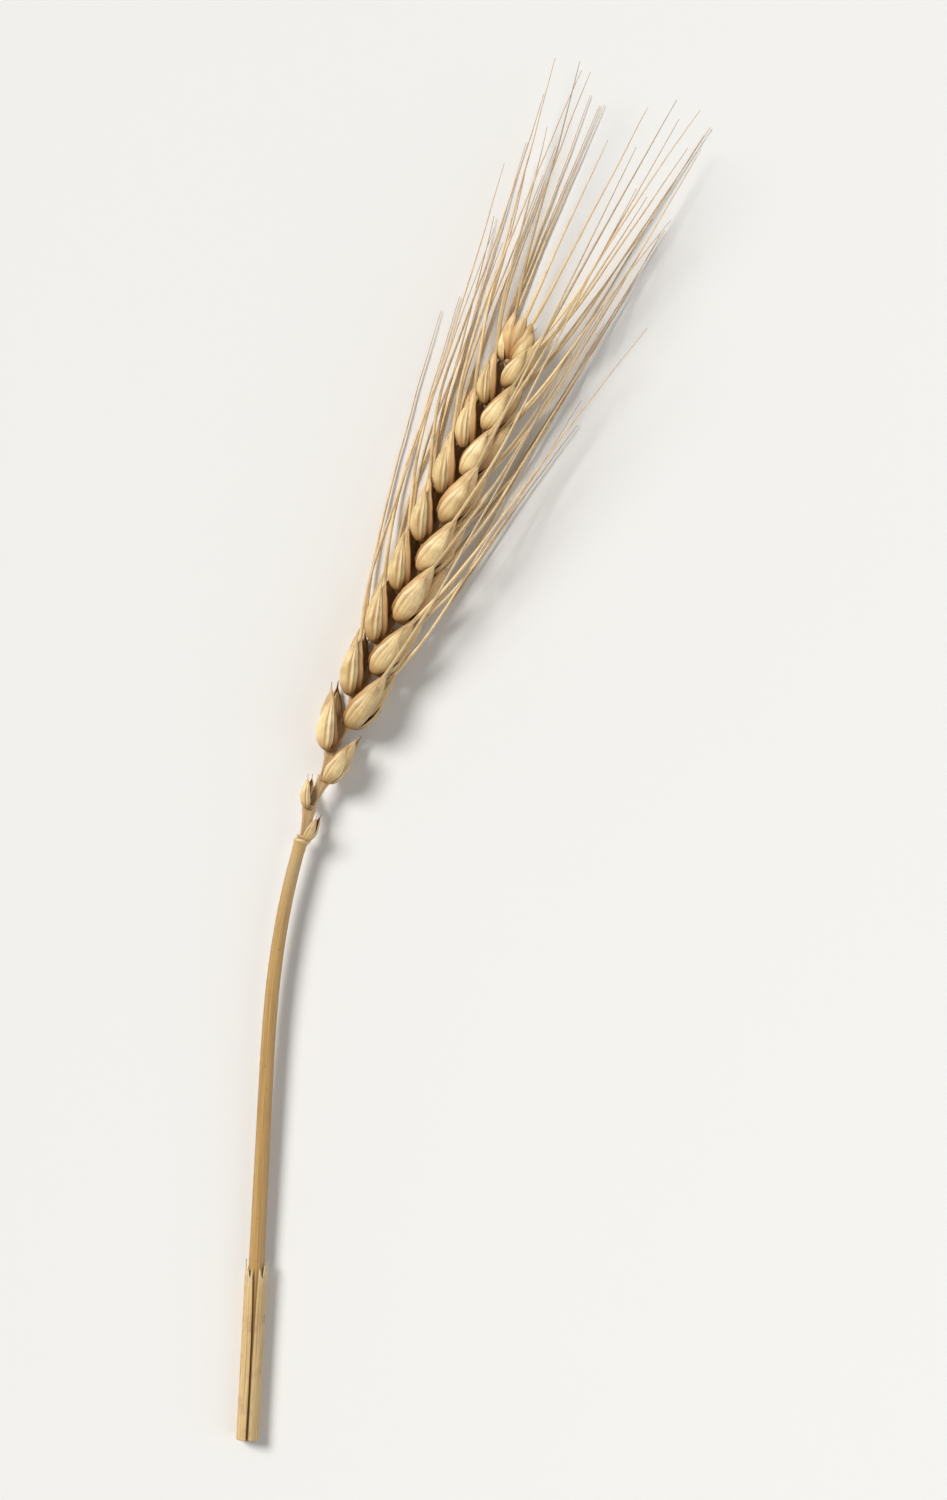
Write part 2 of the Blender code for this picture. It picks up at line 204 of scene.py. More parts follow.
# Fine hairs on the edges of the head's middle stem
HAIRS_PER_JOINT = 22
HAIR_LENGTH = 1.1 * MM
HAIR_RADIUS = 0.022 * MM
HAIR_TIP_SHARE = 0.3
HAIR_TIP_LEAN = 0.25
HAIR_ROOT_OUT = 0.84
HAIR_SPREAD = 0.7
HAIR_REACH_BACK = 2.0 * MM
HAIR_LENGTH_RANGE = (0.5, 1.1)
HAIR_LEAN_RANGE = (0.5, 1.1)

# How close to the surface a husk may come, and how softly it flattens there
REST_CLEARANCE = 0.01 * MM
REST_SOFTNESS = 0.12 * MM

# Camera, and the share of the picture's height that the object fills
CAMERA_LENS = 100
CAMERA_SENSOR = 36
CAMERA_NEAR = 0.01
CAMERA_FAR = 20.0
PICTURE_SHARE = 0.93

# Light: a broad sun from the upper left, a weak lamp from the right, and a
# pale room that is brighter towards its horizon
SUN_FROM = Vector((-1.6, 1.15, 2.1))
SUN_STRENGTH = 2.95
SUN_SPREAD = math.radians(22)
SUN_COLOUR = (1.0, 0.975, 0.94)
LAMP_FROM = Vector((0.95, -0.4, 0.75))
LAMP_WATTS = 5.0
LAMP_SIZE = 1.2
LAMP_COLOUR = (0.98, 0.985, 1.0)
ROOM_COLOUR = (1.0, 0.99, 0.97, 1.0)
ROOM_LIGHT = 0.22
HORIZON_LIGHT = 0.68
HORIZON_FALL = 2.2
TABLE_SIZE = 60.0


def draw(low, high, *key):
    """The same number between low and high each time for the same key."""
    return random.Random(f"{SEED} {key}").uniform(low, high)


def smooth(x, low, high):
    """0 below low, 1 above high, with a smooth rise between them."""
    f = min(max((x - low) / (high - low), 0.0), 1.0)
    return f * f * (3 - 2 * f)


def mix(a, b, share):
    """From a at no share to b at a whole one."""
    return a + (b - a) * share


def eased(height, clearance, softness):
    """The height kept over the clearance, with a soft bend where it nears it."""
    above = height - clearance
    return clearance + 0.5 * (above + math.hypot(above, softness))


# How the plant grows


def axis_point(s):
    """The point of the plant's middle line at a length s from the cut end."""
    x, y = CUT_END_X, CUT_END_Y
    steps = max(1, math.ceil(abs(s) / AXIS_STEP))
    step = s / steps
    for i in range(steps):
        bend = smooth((i + 0.5) * step, BEND_START, BEND_END)
        lean = mix(LEAN_LOW, LEAN_HIGH, bend)
        x += math.sin(lean) * step
        y += math.cos(lean) * step
    return Vector((x, y, mix(CUT_END_HEIGHT, HEAD_HEIGHT, smooth(s, 0, LEVEL_BY))))


def axis_frame(s, roll=0.0):
    """Out to the right row, out of the face, and along, at a length s."""
    along = (axis_point(s + AXIS_STEP) - axis_point(s - AXIS_STEP)).normalized()
    right = along.cross(UP).normalized()
    turn = Matrix.Rotation(-roll, 3, along)
    return turn @ right, turn @ right.cross(along), along


def joints():
    """Lengths from the cut end to each joint of the head."""
    places = [STALK_LENGTH + JOINT_GAP + COLLAR_HEIGHT / 2]
    for i in range(SPIKELETS - 1):
        share = i / (SPIKELETS - 2)
        places.append(places[-1] + mix(JOINT_SPACING_LOW, JOINT_SPACING_TOP, share))
    return places


def side(i):
    """+1 for a spikelet of the right row, -1 for one of the left row."""
    return 1 if i % 2 == 0 else -1


def joint_frame(s):
    """The axis frame at a joint. The head is twisted a little as it grows."""
    head_length = SPIKELETS * (JOINT_SPACING_LOW + JOINT_SPACING_TOP) / 2
    return axis_frame(s, mix(ROLL_LOW, ROLL_TOP, (s - STALK_LENGTH) / head_length))


def joint_point(i, s):
    """Where joint i stands, a little to the side of the middle line."""
    return axis_point(s) + joint_frame(s)[0] * side(i) * ZIGZAG


def rachis_radius(i):
    """Half the width of the middle stem at joint i."""
    return mix(RACHIS_RADIUS_LOW, RACHIS_RADIUS_TOP, i / (SPIKELETS - 1))


def spikelet_size(i):
    """Smaller at the foot of the head and towards its top, against 1."""
    share = i / (SPIKELETS - 1)
    grown = mix(SMALLEST_SPIKELET, 1.0, smooth(share, 0, FULL_SIZE_BY))
    return grown * mix(1.0, TOP_SPIKELET, smooth(share, TAPERS_FROM, 1))


def husk_matrix(root, direction, back):
    """Z runs along the husk from its root, and Y points out of its back."""
    z = direction.normalized()
    y = (back - back.dot(z) * z).normalized()
    matrix = Matrix((y.cross(z), y, z)).transposed().to_4x4()
    matrix.translation = root
    return matrix


def husk(i, name, kind, face_sign, back_shares, frame_at):
    """One husk of spikelet i: its name, its place, its size and its hand."""
    root, out, face, along, size = frame_at
    tall, outward, sideways = (x * size * MM for x in kind["root"])
    lean_out = kind["lean"][0] + draw(-LEAN_JITTER, LEAN_JITTER, i, name, "out")
    lean_face = kind["lean"][1] * face_sign
    lean_face += draw(-LEAN_JITTER, LEAN_JITTER, i, name, "face")
    direction = (
        along
        + out * math.tan(math.radians(lean_out))
        + face * math.tan(math.radians(lean_face))
    )
    back = out * back_shares[0] + face * back_shares[1] * face_sign
    place = root + along * tall + out * outward + face * sideways * face_sign
    scale = size * (1 + draw(-SIZE_JITTER, SIZE_JITTER, i, name, "size")) * MM
    return {
        "name": f"{name}_{i}",
        "spikelet": i,
        "matrix": husk_matrix(place, direction, back),
        "size": [x * scale for x in kind["size"]],
        "along": along,
        "out": out,
        "mirrored": face_sign * side(i) < 0,
    }


def spikelet(i, s):
    """The husks of spikelet i, near and far from the face that looks up.

    The topmost spikelet is turned a quarter round.
    """
    right, face, along = joint_frame(s)
    out = right * side(i)
    if i == SPIKELETS - 1:
        out, face = face, right
    frame_at = (joint_point(i, s), out, face, along, spikelet_size(i))
    husks = [
        husk(i, f"{which}_glume", GLUME, sign, GLUME_BACK, frame_at)
        for which, sign in (("near", 1), ("far", -1))
    ]
    if i >= FIRST_WITH_FLORETS:
        husks += [
            husk(i, f"{which}_floret", FLORET, sign, FLORET_BACK, frame_at)
            for which, sign in (("near", 1), ("far", -1))
        ]
    if i >= FIRST_WITH_AWNS:
        husks.append(husk(i, "top_floret", TOP_FLORET, 0, TOP_FLORET_BACK, frame_at))
    return husks


def awn_length(h):
    """Longest in the middle of the head, and shorter on a top floret."""
    share = h["spikelet"] / (SPIKELETS - 1)
    length = AWN_LENGTH * draw(*AWN_LENGTH_RANGE, h["name"], "length")
    length *= mix(SHORTEST_AWN, 1.0, math.sin(math.pi * mix(*AWN_PROFILE, share)))
    if h["name"].startswith("top_floret"):
        length *= TOP_FLORET_AWN
    return length


def awn_path(h):
    """Points of the bristle that runs on from the tip of a floret's husk."""
    name, along = h["name"], h["along"]
    direction = h["matrix"].to_3x3() @ Vector((0, 0, 1))
    lean = direction.angle(along)
    aside = (direction - direction.dot(along) * along).normalized()
    swing = math.radians(draw(-AWN_SWING, AWN_SWING, name, "swing"))
    aside = Matrix.Rotation(swing, 3, along) @ aside
    final = math.radians(draw(*AWN_LEAN, name, "lean"))
    curl = math.radians(draw(*AWN_CURL, name, "curl"))
    point = h["matrix"] @ Vector((0, 0, h["size"][0])) - direction * AWN_SINK
    step = (awn_length(h) + AWN_SINK) / AWN_STEPS
    points = [point.copy()]
    for n in range(AWN_STEPS):
        run = (n + 0.5) / AWN_STEPS
        tilt = mix(lean, final, smooth(run, *AWN_TURN)) + curl * run * run
        point = point + (along * math.cos(tilt) + aside * math.sin(tilt)) * step
        points.append(point.copy())
    for n, point in enumerate(points):
        lifted = eased(point.z, AWN_CLEARANCE, AWN_SOFTNESS)
        point.z = mix(point.z, lifted, smooth(n / AWN_STEPS, 0, AWN_EASE_BY))
    return points


def sheath_point(share, turned):
    """A point of the sheath: share runs up it, turned from edge to edge."""
    split = mix(SHEATH_SPLIT, SHEATH_SPLIT_MOUTH, share**SPLIT_KEPT_TO_MOUTH)
    angle = math.pi / 2 + split / 2 + (2 * math.pi - split) * turned
    torn = math.sin(TEAR_WAVES * angle)
    torn += FINE_TEAR_SHARE * math.sin(FINE_TEAR_WAVES * angle + 1)
    fray = math.sin(FRAY_WAVES * angle) * math.sin(FRAY_CROSS_WAVES * angle + 2)
    s = SHEATH_LENGTH * share + TEAR_DEPTH * torn * share**TEAR_KEPT_TO_MOUTH
    s += FRAY_DEPTH * fray * share**FRAY_KEPT_TO_MOUTH
    right, face, _ = axis_frame(s)
    spoke = right * math.cos(angle) + face * math.sin(angle)
    return axis_point(s) + spoke * SHEATH_RADIUS


# Node trees, built from plain sums


class Sum:
    """A number in a node tree that takes part in sums as plain numbers do."""

    def __init__(self, tree, socket):
        self.tree = tree
        self.socket = socket

    def calc(self, operation, *terms):
        node = self.tree.nodes.new("ShaderNodeMath")
        node.operation = operation
        for socket, term in zip(node.inputs, terms):
            if isinstance(term, Sum):
                self.tree.links.new(term.socket, socket)
            else:
                socket.default_value = term
        return Sum(self.tree, node.outputs[0])

    def __add__(self, other):
        return self.calc("ADD", self, other)

    def __sub__(self, other):
        return self.calc("SUBTRACT", self, other)

    def __rsub__(self, other):
        return self.calc("SUBTRACT", other, self)

    def __mul__(self, other):
        return self.calc("MULTIPLY", self, other)

    def __truediv__(self, other):
        return self.calc("DIVIDE", self, other)

    def __rtruediv__(self, other):
        return self.calc("DIVIDE", other, self)

    def __pow__(self, other):
        return self.calc("POWER", self, other)

    def __rpow__(self, other):
        return self.calc("POWER", other, self)

    def sin(self):
        return self.calc("SINE", self)

    def cos(self):
        return self.calc("COSINE", self)

    def size(self):
        return self.calc("ABSOLUTE", self)

    def least(self, other):
        return self.calc("MINIMUM", self, other)

    def most(self, other):
        return self.calc("MAXIMUM", self, other)

    def over(self, other):
        """1 where this is greater than the other, else 0."""
        return self.calc("GREATER_THAN", self, other)

    def spread(self, low, high):
        """Runs from low to high as this runs from 0 to 1."""
        return self * (high - low) + low

    def bell(self, middle, width):
        """1 at the middle, falling to 0 a few widths away."""
        return math.e ** ((((self - middle) / width) ** 2) * -1)


def add_node(tree, kind, inputs=None, **settings):
    """A new node with its settings, its inputs given as values or as links."""
    node = tree.nodes.new(kind)
    for name, value in settings.items():
        setattr(node, name, value)
    fill_in(tree, node, inputs or {})
    return node


def fill_in(tree, node, inputs):
    """Gives a node its inputs: a link for each socket, else a plain value."""
    for key, value in inputs.items():
        if isinstance(value, Sum):
            value = value.socket
        if isinstance(value, bpy.types.NodeSocket):
            tree.links.new(value, node.inputs[key])
        else:
            node.inputs[key].default_value = value


def geometry_node(tree, kind, inputs=None, **settings):
    """The first output of a new geometry node."""
    return add_node(tree, f"GeometryNode{kind}", inputs, **settings).outputs[0]


# The kinds of input that a shape's tree may have
SOCKETS = {
    float: "NodeSocketFloat",
    int: "NodeSocketInt",
    "object": "NodeSocketObject",
    "material": "NodeSocketMaterial",
}


def new_shape_tree(name, sizes):
    """A geometry tree with named inputs, and what is needed to fill it in."""
    tree = bpy.data.node_groups.new(name, "GeometryNodeTree")
    tree.is_modifier = True
    panel = tree.interface
    panel.new_socket("Geometry", in_out="INPUT", socket_type="NodeSocketGeometry")
    for label, value in sizes.items():
        is_number = not isinstance(value, str)
        kind = SOCKETS[type(value) if is_number else value]
        socket = panel.new_socket(label, in_out="INPUT", socket_type=kind)
        if is_number:
            socket.default_value = value
    panel.new_socket("Geometry", in_out="OUTPUT", socket_type="NodeSocketGeometry")
    entry = tree.nodes.new("NodeGroupInput")
    numbers = {label: Sum(tree, entry.outputs[label]) for label in ("Geometry", *sizes)}
    return tree, numbers


def close_shape_tree(tree, geometry, material, smooth=True):
    """Ends a tree in real geometry with its material on it."""
    if smooth:
        geometry = geometry_node(tree, "SetShadeSmooth", {0: geometry})
    real = geometry_node(tree, "RealizeInstances", {0: geometry})
    painted = geometry_node(tree, "SetMaterial", {"Geometry": real, "Material": material})
    end = tree.nodes.new("NodeGroupOutput")
    tree.links.new(painted, end.inputs[0])
    return tree


def named(tree, name, kind="FLOAT"):
    """The attribute of that name, kept earlier on the same geometry."""
    node = add_node(tree, "GeometryNodeInputNamedAttribute", {"Name": name}, data_type=kind)
    return node.outputs["Attribute"]


def keep(tree, geometry, name, value, kind="FLOAT", domain="POINT"):
    """The geometry with the value kept on it as an attribute."""
    return geometry_node(
        tree,
        "StoreNamedAttribute",
        {"Geometry": geometry, "Name": name, "Value": value},
        data_type=kind,
        domain=domain,
    )


def vector(tree, x, y, z):
    return add_node(tree, "ShaderNodeCombineXYZ", {0: x, 1: y, 2: z}).outputs[0]


def parts_of(tree, place):
    """The three parts of a vector, as numbers."""
    node = add_node(tree, "ShaderNodeSeparateXYZ", {0: place})
    return [Sum(tree, part) for part in node.outputs]


def noise(tree, coordinates, scale, detail=4.0, roughness=0.55):
    """Smooth noise about 0.5, with more grain for more detail."""
    settings = {"Vector": coordinates, "Scale": scale, "Detail": detail, "Roughness": roughness}
    return Sum(tree, add_node(tree, "ShaderNodeTexNoise", settings).outputs[0])


def nerve_phase(u, v, nerves):
    """Turns by pi from one nerve of a husk to the next; the nerves sway."""
    return u * nerves * math.pi + (v * NERVE_BENDS).sin() * NERVE_SWAY


def moved(tree, geometry, direction, amount):
    """Moves every point along its direction by its amount."""
    offset = add_node(
        tree, "ShaderNodeVectorMath", {0: direction, "Scale": amount}, operation="SCALE"
    )
    settings = {"Geometry": geometry, "Offset": offset.outputs[0]}
    return geometry_node(tree, "SetPosition", settings)


def add_wobble(tree, geometry, amount, width):
    """Moves every point by a smooth noise with bumps of the given width."""
    spot = geometry_node(tree, "InputPosition")
    settings = {"Vector": spot, "Scale": 1 / width, "Detail": 1.0}
    cloud = add_node(tree, "ShaderNodeTexNoise", settings)
    centred = add_node(
        tree,
        "ShaderNodeVectorMath",
        {0: cloud.outputs["Color"], 1: (0.5, 0.5, 0.5)},
        operation="SUBTRACT",
    )
    return moved(tree, geometry, centred.outputs[0], amount)


def husk_shell_tree():
    """One thin husk of unit size, open along its inner side.

    U runs across it and V from root to tip. The outline swells from the root,
    draws in to the tip and runs on as a beak. A keel stands on its back, with
    a groove beside it, and both are kept as attributes for the finish.
    """
    tree, at = new_shape_tree(
        "husk_shell",
        {
            "Across": 20,
            "Along": 30,
            "Wrap": 0.3,
            "Back": BACK_SHARE,
            "Belly": 1 - BACK_SHARE,
            "Bow": BOW,
            "Fullness": HUSK_FULLNESS,
            "Keel": 0.1,
            "Groove": 0.0,
            "Keel Place": 0.5,
            "Nerves": 5.0,
            "Nerve Height": 0.015,
            "Beak": 0.1,
            "Beak Width": 0.1,
            "Flare": 0.0,
            "Material": "material",
        },
    )
    grid = geometry_node(
        tree,
        "MeshGrid",
        {"Size X": 1.0, "Size Y": 1.0, "Vertices X": at["Across"], "Vertices Y": at["Along"]},
    )
    across, up, _ = parts_of(tree, geometry_node(tree, "InputPosition"))
    u = across + 0.5
    v = up + 0.5
    run = v * (at["Beak"] + 1)
    inside = run.least(1.0)
    body = ((inside**HUSK_BELLY) * math.pi).sin().most(0.0) ** at["Fullness"]
    left = ((at["Beak"] + 1 - run) / BEAK_TAPER).least(1.0).most(0.0)
    beak = left**BEAK_ROUNDING * at["Beak Width"] * run.over(0.5)
    outline = body.most(beak)
    angle = (u - 0.5) * (at["Wrap"] * 2 + math.pi) + math.pi / 2
    back = angle.sin().over(0.0)
    depth = back * at["Back"] + (1 - back) * at["Belly"]
    beside = (at["Keel Place"] - 0.5) * GROOVE_PLACE + 0.5
    swell = (inside * math.pi).sin().most(0.0)
    ridge = u.bell(at["Keel Place"], KEEL_WIDTH) * at["Keel"] * swell
    groove = u.bell(beside, GROOVE_WIDTH) * at["Groove"] * swell
    nerve = (nerve_phase(u, v, at["Nerves"]).sin() ** 2) ** NERVE_NARROWNESS
    outer = ((u - 0.5).size() - FLARE_FROM) / (0.5 - FLARE_FROM)
    flare = (outer.most(0.0) ** 2) * at["Flare"]
    rise = inside.spread(*NERVE_RISE) + inside**NERVE_KEPT_TO_TIP * NERVE_TIP_RISE
    relief = ridge - groove + nerve * at["Nerve Height"] * rise + flare + 1
    x = outline * angle.cos() * relief * 0.5
    y = outline * angle.sin() * depth * relief
    y = y + swell * at["Bow"]
    uv = vector(tree, u, v, 0.0)
    mapped = keep(tree, grid, "UVMap", uv, "FLOAT2", "CORNER")
    mapped = keep(tree, mapped, "ridge", ridge)
    mapped = keep(tree, mapped, "groove", groove)
    shaped = geometry_node(
        tree, "SetPosition", {"Geometry": mapped, "Position": vector(tree, x, y, run)}
    )
    closed = geometry_node(tree, "MergeByDistance", {"Geometry": shaped, "Distance": MERGE_BELOW})
    return close_shape_tree(tree, closed, at["Material"])


def scatter_tree():
    """Sets a copy of one shape on every point, turned and sized as it says.

    Each copy is then crumpled a little by where it stands, so no two agree.
    """
    tree, at = new_shape_tree(
        "set_on_points",
        {"Shape": "object", "Crumple": 0.0, "Crumple Width": 2.2 * MM, "Material": "material"},
    )
    shape = add_node(
        tree,
        "GeometryNodeObjectInfo",
        {"Object": at["Shape"], "As Instance": True},
        transform_space="ORIGINAL",
    )
    turn = add_node(tree, "FunctionNodeEulerToRotation", {0: named(tree, "turn", "FLOAT_VECTOR")})
    copies = geometry_node(
        tree,
        "InstanceOnPoints",
        {
            "Points": at["Geometry"],
            "Instance": shape.outputs["Geometry"],
            "Rotation": turn.outputs[0],
            "Scale": named(tree, "measure", "FLOAT_VECTOR"),
        },
    )
    real = geometry_node(tree, "RealizeInstances", {0: copies})
    crumpled = add_wobble(tree, real, at["Crumple"], at["Crumple Width"])
    return close_shape_tree(tree, crumpled, at["Material"], smooth=False)


def bristle_tree():
    """Sweeps a tapering rod along every line of edges."""
    tree, at = new_shape_tree(
        "bristles",
        {
            "Root Radius": AWN_ROOT_RADIUS,
            "Tip Radius": AWN_TIP_RADIUS,
            "Sides": 6,
            "Points": 3,
            "Wobble": 0.0,
            "Wobble Width": 13 * MM,
            "Material": "material",
        },
    )
    bent = add_wobble(tree, at["Geometry"], at["Wobble"], at["Wobble Width"])
    lines = geometry_node(tree, "MeshToCurve", {"Mesh": bent})
    curved = geometry_node(tree, "CurveSplineType", {"Curve": lines}, spline_type="CATMULL_ROM")
    lines = geometry_node(tree, "ResampleCurve", {"Curve": curved, "Count": at["Points"]})
    run = Sum(tree, add_node(tree, "GeometryNodeSplineParameter").outputs["Factor"])
    marked = keep(tree, lines, "run", run)
    thinner = (at["Tip Radius"] - at["Root Radius"]) * run**BRISTLE_TAPER
    ring = geometry_node(tree, "CurvePrimitiveCircle", {"Resolution": at["Sides"], "Radius": 1.0})
    swept = geometry_node(
        tree,
        "CurveToMesh",
        {
            "Curve": marked,
            "Profile Curve": ring,
            "Scale": at["Root Radius"] + thinner,
            "Fill Caps": True,
        },
    )
    return close_shape_tree(tree, swept, at["Material"])


def ribbed_straw_tree():
    """Sweeps a straw with fine ribs along one line of edges."""
    tree, at = new_shape_tree(
        "ribbed_straw",
        {
            "Low Radius": STALK_RADIUS_LOW,
            "High Radius": STALK_RADIUS_HIGH,
            "Ribs": STALK_RIBS,
            "Rib Height": STALK_RIB_HEIGHT,
            "Sides Per Rib": 6,
            "Material": "material",
        },
    )
    lines = geometry_node(tree, "MeshToCurve", {"Mesh": at["Geometry"]})
    run = Sum(tree, add_node(tree, "GeometryNodeSplineParameter").outputs["Factor"])
    marked = keep(tree, lines, "run", run)
    radius = at["Low Radius"] + (at["High Radius"] - at["Low Radius"]) * run
    ring = geometry_node(
        tree,
        "CurvePrimitiveCircle",
        {"Resolution": at["Ribs"] * at["Sides Per Rib"], "Radius": 1.0},
    )
    around = Sum(tree, add_node(tree, "GeometryNodeSplineParameter").outputs["Factor"])
    turned = keep(tree, ring, "around", around)
    swept = geometry_node(
        tree, "CurveToMesh", {"Curve": marked, "Profile Curve": turned, "Scale": radius}
    )
    place = Sum(tree, named(tree, "around")) * at["Ribs"] * (2 * math.pi)
    rise = (place.cos() * 0.5 + 0.5) * at["Rib Height"]
    normal = geometry_node(tree, "InputNormal")
    ribbed = moved(tree, swept, normal, rise)
    return close_shape_tree(tree, ribbed, at["Material"])


def raised_vein_tree():
    """Raises veins on a sheet, counted along its U, no two quite the same.

    Each point's height on its vein, and how strong the vein is there, are kept
    as attributes for the finish.
    """
    tree, at = new_shape_tree(
        "raised_veins",
        {
            "Veins": SHEATH_VEINS,
            "Vein Height": SHEATH_VEIN_HEIGHT,
            "Drift": SHEATH_VEIN_DRIFT,
            "Material": "material",
        },
    )
    u, v, _ = parts_of(tree, named(tree, "UVMap", "FLOAT_VECTOR"))
    across, along = VEIN_DRIFT_WAVES
    uneven = noise(tree, vector(tree, u * across, v * along, 0.0), 1.0, 1.0)
    place = u * at["Veins"] + (uneven - 0.5) * at["Drift"]
    wave = (place * math.pi).sin().size() ** VEIN_ROUNDING
    across, along = VEIN_WEAR_WAVES
    worn = noise(tree, vector(tree, u * across, v * along, 3.0), 1.0, 1.0)
    weakest, strongest = VEIN_STRENGTH_RANGE
    strength = worn.spread(*VEIN_WEAR).least(strongest).most(weakest)
    kept = keep(tree, at["Geometry"], "vein", wave)
    kept = keep(tree, kept, "vein_strength", strength)
    normal = geometry_node(tree, "InputNormal")
    rise = wave * strength * at["Vein Height"]
    raised = moved(tree, kept, normal, rise)
    return close_shape_tree(tree, raised, at["Material"])


# Making pieces


def show(name, data):
    """Puts new data in the scene as an object."""
    obj = bpy.data.objects.new(name, data)
    bpy.context.scene.collection.objects.link(obj)
    return obj


def finished_mesh(obj):
    """What the object's modifiers make of it, as a plain mesh."""
    bpy.context.view_layer.update()
    graph = bpy.context.evaluated_depsgraph_get()
    return bpy.data.meshes.new_from_object(obj.evaluated_get(graph))


def grow(name, mesh, tree, settings):
    """Runs a tree on a mesh and returns a plain object with what it makes."""
    obj = show(name, mesh)
    modifier = obj.modifiers.new(tree.name, "NODES")
    modifier.node_group = tree
    for item in tree.interface.items_tree:
        if item.in_out == "INPUT" and item.name in settings:
            modifier[item.identifier] = settings[item.name]
    made = finished_mesh(obj)
    obj.modifiers.clear()
    obj.data = made
    made.name = name
    return obj


def give_wall(obj, thickness, inner=None):
    """Turns an open shell into a wall of one thickness, with closed rims.

    An inner finish, if there is one, goes on the side away from the shell.
    """
    wall = obj.modifiers.new("wall", "SOLIDIFY")
    wall.thickness = thickness
    wall.offset = -1.0
    wall.use_even_offset = False
    if inner:
        obj.data.materials.append(inner)
        wall.material_offset = 1
    made = finished_mesh(obj)
    obj.modifiers.clear()
    obj.data = made


def settle(obj):
    """Presses what would reach below the surface flat on it."""
    for vertex in obj.data.vertices:
        vertex.co.z = eased(vertex.co.z, REST_CLEARANCE, REST_SOFTNESS)


def points_mesh(name, places):
    """A point for every place, with its turn, measure and tint."""
    mesh = bpy.data.meshes.new(name)
    mesh.from_pydata([p["matrix"].translation for p in places], [], [])
    mesh.attributes.new("turn", "FLOAT_VECTOR", "POINT")
    mesh.attributes.new("measure", "FLOAT_VECTOR", "POINT")
    mesh.attributes.new("tint", "FLOAT", "POINT")
    values = mesh.attributes
    for n, place in enumerate(places):
        values["turn"].data[n].vector = place["matrix"].to_euler()
        values["measure"].data[n].vector = place["measure"]
        values["tint"].data[n].value = draw(0, 1, name, n, "tint")
    return mesh


def lines_mesh(name, paths):
    """Edges along every path, with one tint for each."""
    mesh = bpy.data.meshes.new(name)
    points = [point for path in paths for point in path]
    edges = []
    start = 0
    for path in paths:
        edges += [(start + n, start + n + 1) for n in range(len(path) - 1)]
        start += len(path)
    mesh.from_pydata(points, edges, [])
    tint = mesh.attributes.new("tint", "FLOAT", "POINT")
    place = 0
    for n, path in enumerate(paths):
        shade = draw(0, 1, name, n, "tint")
        for _ in path:
            tint.data[place].value = shade
            place += 1
    return mesh


def set_copies(name, shape, places, finish, crumple=0.0):
    """One piece made of a copy of the shape on every place."""
    points = points_mesh(name, places)
    settings = {"Shape": shape, "Crumple": crumple, "Material": finish}
    piece = grow(name, points, scatter_tree(), settings)
    bpy.data.objects.remove(shape)
    return piece


def finish_piece(obj, slot, *nodes):
    """Says what the piece rides on and the solids it stands for; its slot is not used."""
    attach(obj, "root")
    if nodes:
        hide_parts(*nodes)


# Finishes

# Colours along each finish, from root to tip or from dark streak to pale one
# The husks darken towards the root: partly their own orange-brown base, partly painted shade
# where they sit in the crevices by the middle stem.
GLUME_STOPS = [
    (0.00, (0.34, 0.17, 0.06)),
    (0.10, (0.56, 0.34, 0.13)),
    (0.26, (0.80, 0.61, 0.30)),
    (0.62, (0.88, 0.71, 0.38)),
    (0.84, (0.79, 0.60, 0.31)),
    (1.00, (0.50, 0.31, 0.14)),
]
FLORET_STOPS = [
    (0.00, (0.24, 0.10, 0.03)),
    (0.22, (0.46, 0.23, 0.08)),
    (0.50, (0.70, 0.49, 0.23)),
    (0.85, (0.79, 0.60, 0.33)),
    (1.00, (0.68, 0.50, 0.26)),
]
PALEA_STOPS = [(0.00, (0.28, 0.14, 0.05)), (0.60, (0.50, 0.33, 0.15)), (1.00, (0.58, 0.42, 0.22))]
AWN_STOPS = [
    (0.00, (0.72, 0.53, 0.27)),
    (0.30, (0.74, 0.55, 0.30)),
    (0.75, (0.64, 0.46, 0.26)),
    (1.00, (0.48, 0.32, 0.17)),
]
RACHIS_STOPS = [
    (0.00, (0.38, 0.22, 0.09)),
    (0.60, (0.52, 0.35, 0.16)),
    (0.85, (0.74, 0.58, 0.34)),
    (1.00, (0.40, 0.25, 0.10)),
]
NECK_STOPS = [
    (0.00, (0.52, 0.32, 0.11)),
    (0.50, (0.54, 0.35, 0.13)),
    (0.74, (0.74, 0.58, 0.34)),
    (1.00, (0.40, 0.25, 0.10)),
]
HAIR_STOPS = [(0.00, (0.70, 0.54, 0.32)), (1.00, (0.82, 0.72, 0.54))]
STALK_STOPS = [
    (0.30, (0.34, 0.18, 0.055)),
    (0.48, (0.46, 0.27, 0.085)),
    (0.62, (0.54, 0.34, 0.115)),
    (0.80, (0.61, 0.41, 0.16)),
]
SHEATH_STOPS = [
    (0.30, (0.44, 0.27, 0.11)),
    (0.42, (0.61, 0.42, 0.19)),
    (0.58, (0.70, 0.51, 0.24)),
    (0.80, (0.80, 0.62, 0.34)),
]

# Marks laid over those: where one starts in the number it follows, how fast it
# gains strength from there, the most it may reach, and its colour
HUSK_BLOTCH = (0.45, 2.2, 1.0, (0.47, 0.26, 0.10, 1))
HUSK_GRAIN = (0.48, 2.2, 1.0, (0.50, 0.29, 0.12, 1))
# Painted shade along the groove beside each husk's keel
HUSK_GROOVE_SHADE = (0.0, 5.0, 1.0, (0.34, 0.18, 0.07, 1))
# Painted highlight along each husk's keel ridge
HUSK_KEEL_HIGHLIGHT = (0.0, 3.0, 1.0, (0.92, 0.78, 0.52, 1))
BRISTLE_FLECK = (0.5, 1.6, 1.0, (0.34, 0.20, 0.09, 1))
STALK_FIBRE = (0.45, 1.6, 1.0, (0.38, 0.21, 0.08, 1))
STALK_CUT_END = (8 / 9, 4.5, 1.0, (0.33, 0.20, 0.09, 1))
STALK_TOP = (6 / 7, 4.2, 1.0, (0.52, 0.40, 0.20, 1))
STALK_SPECK = (0.66, 7.0, 0.4, (0.20, 0.11, 0.05, 1))
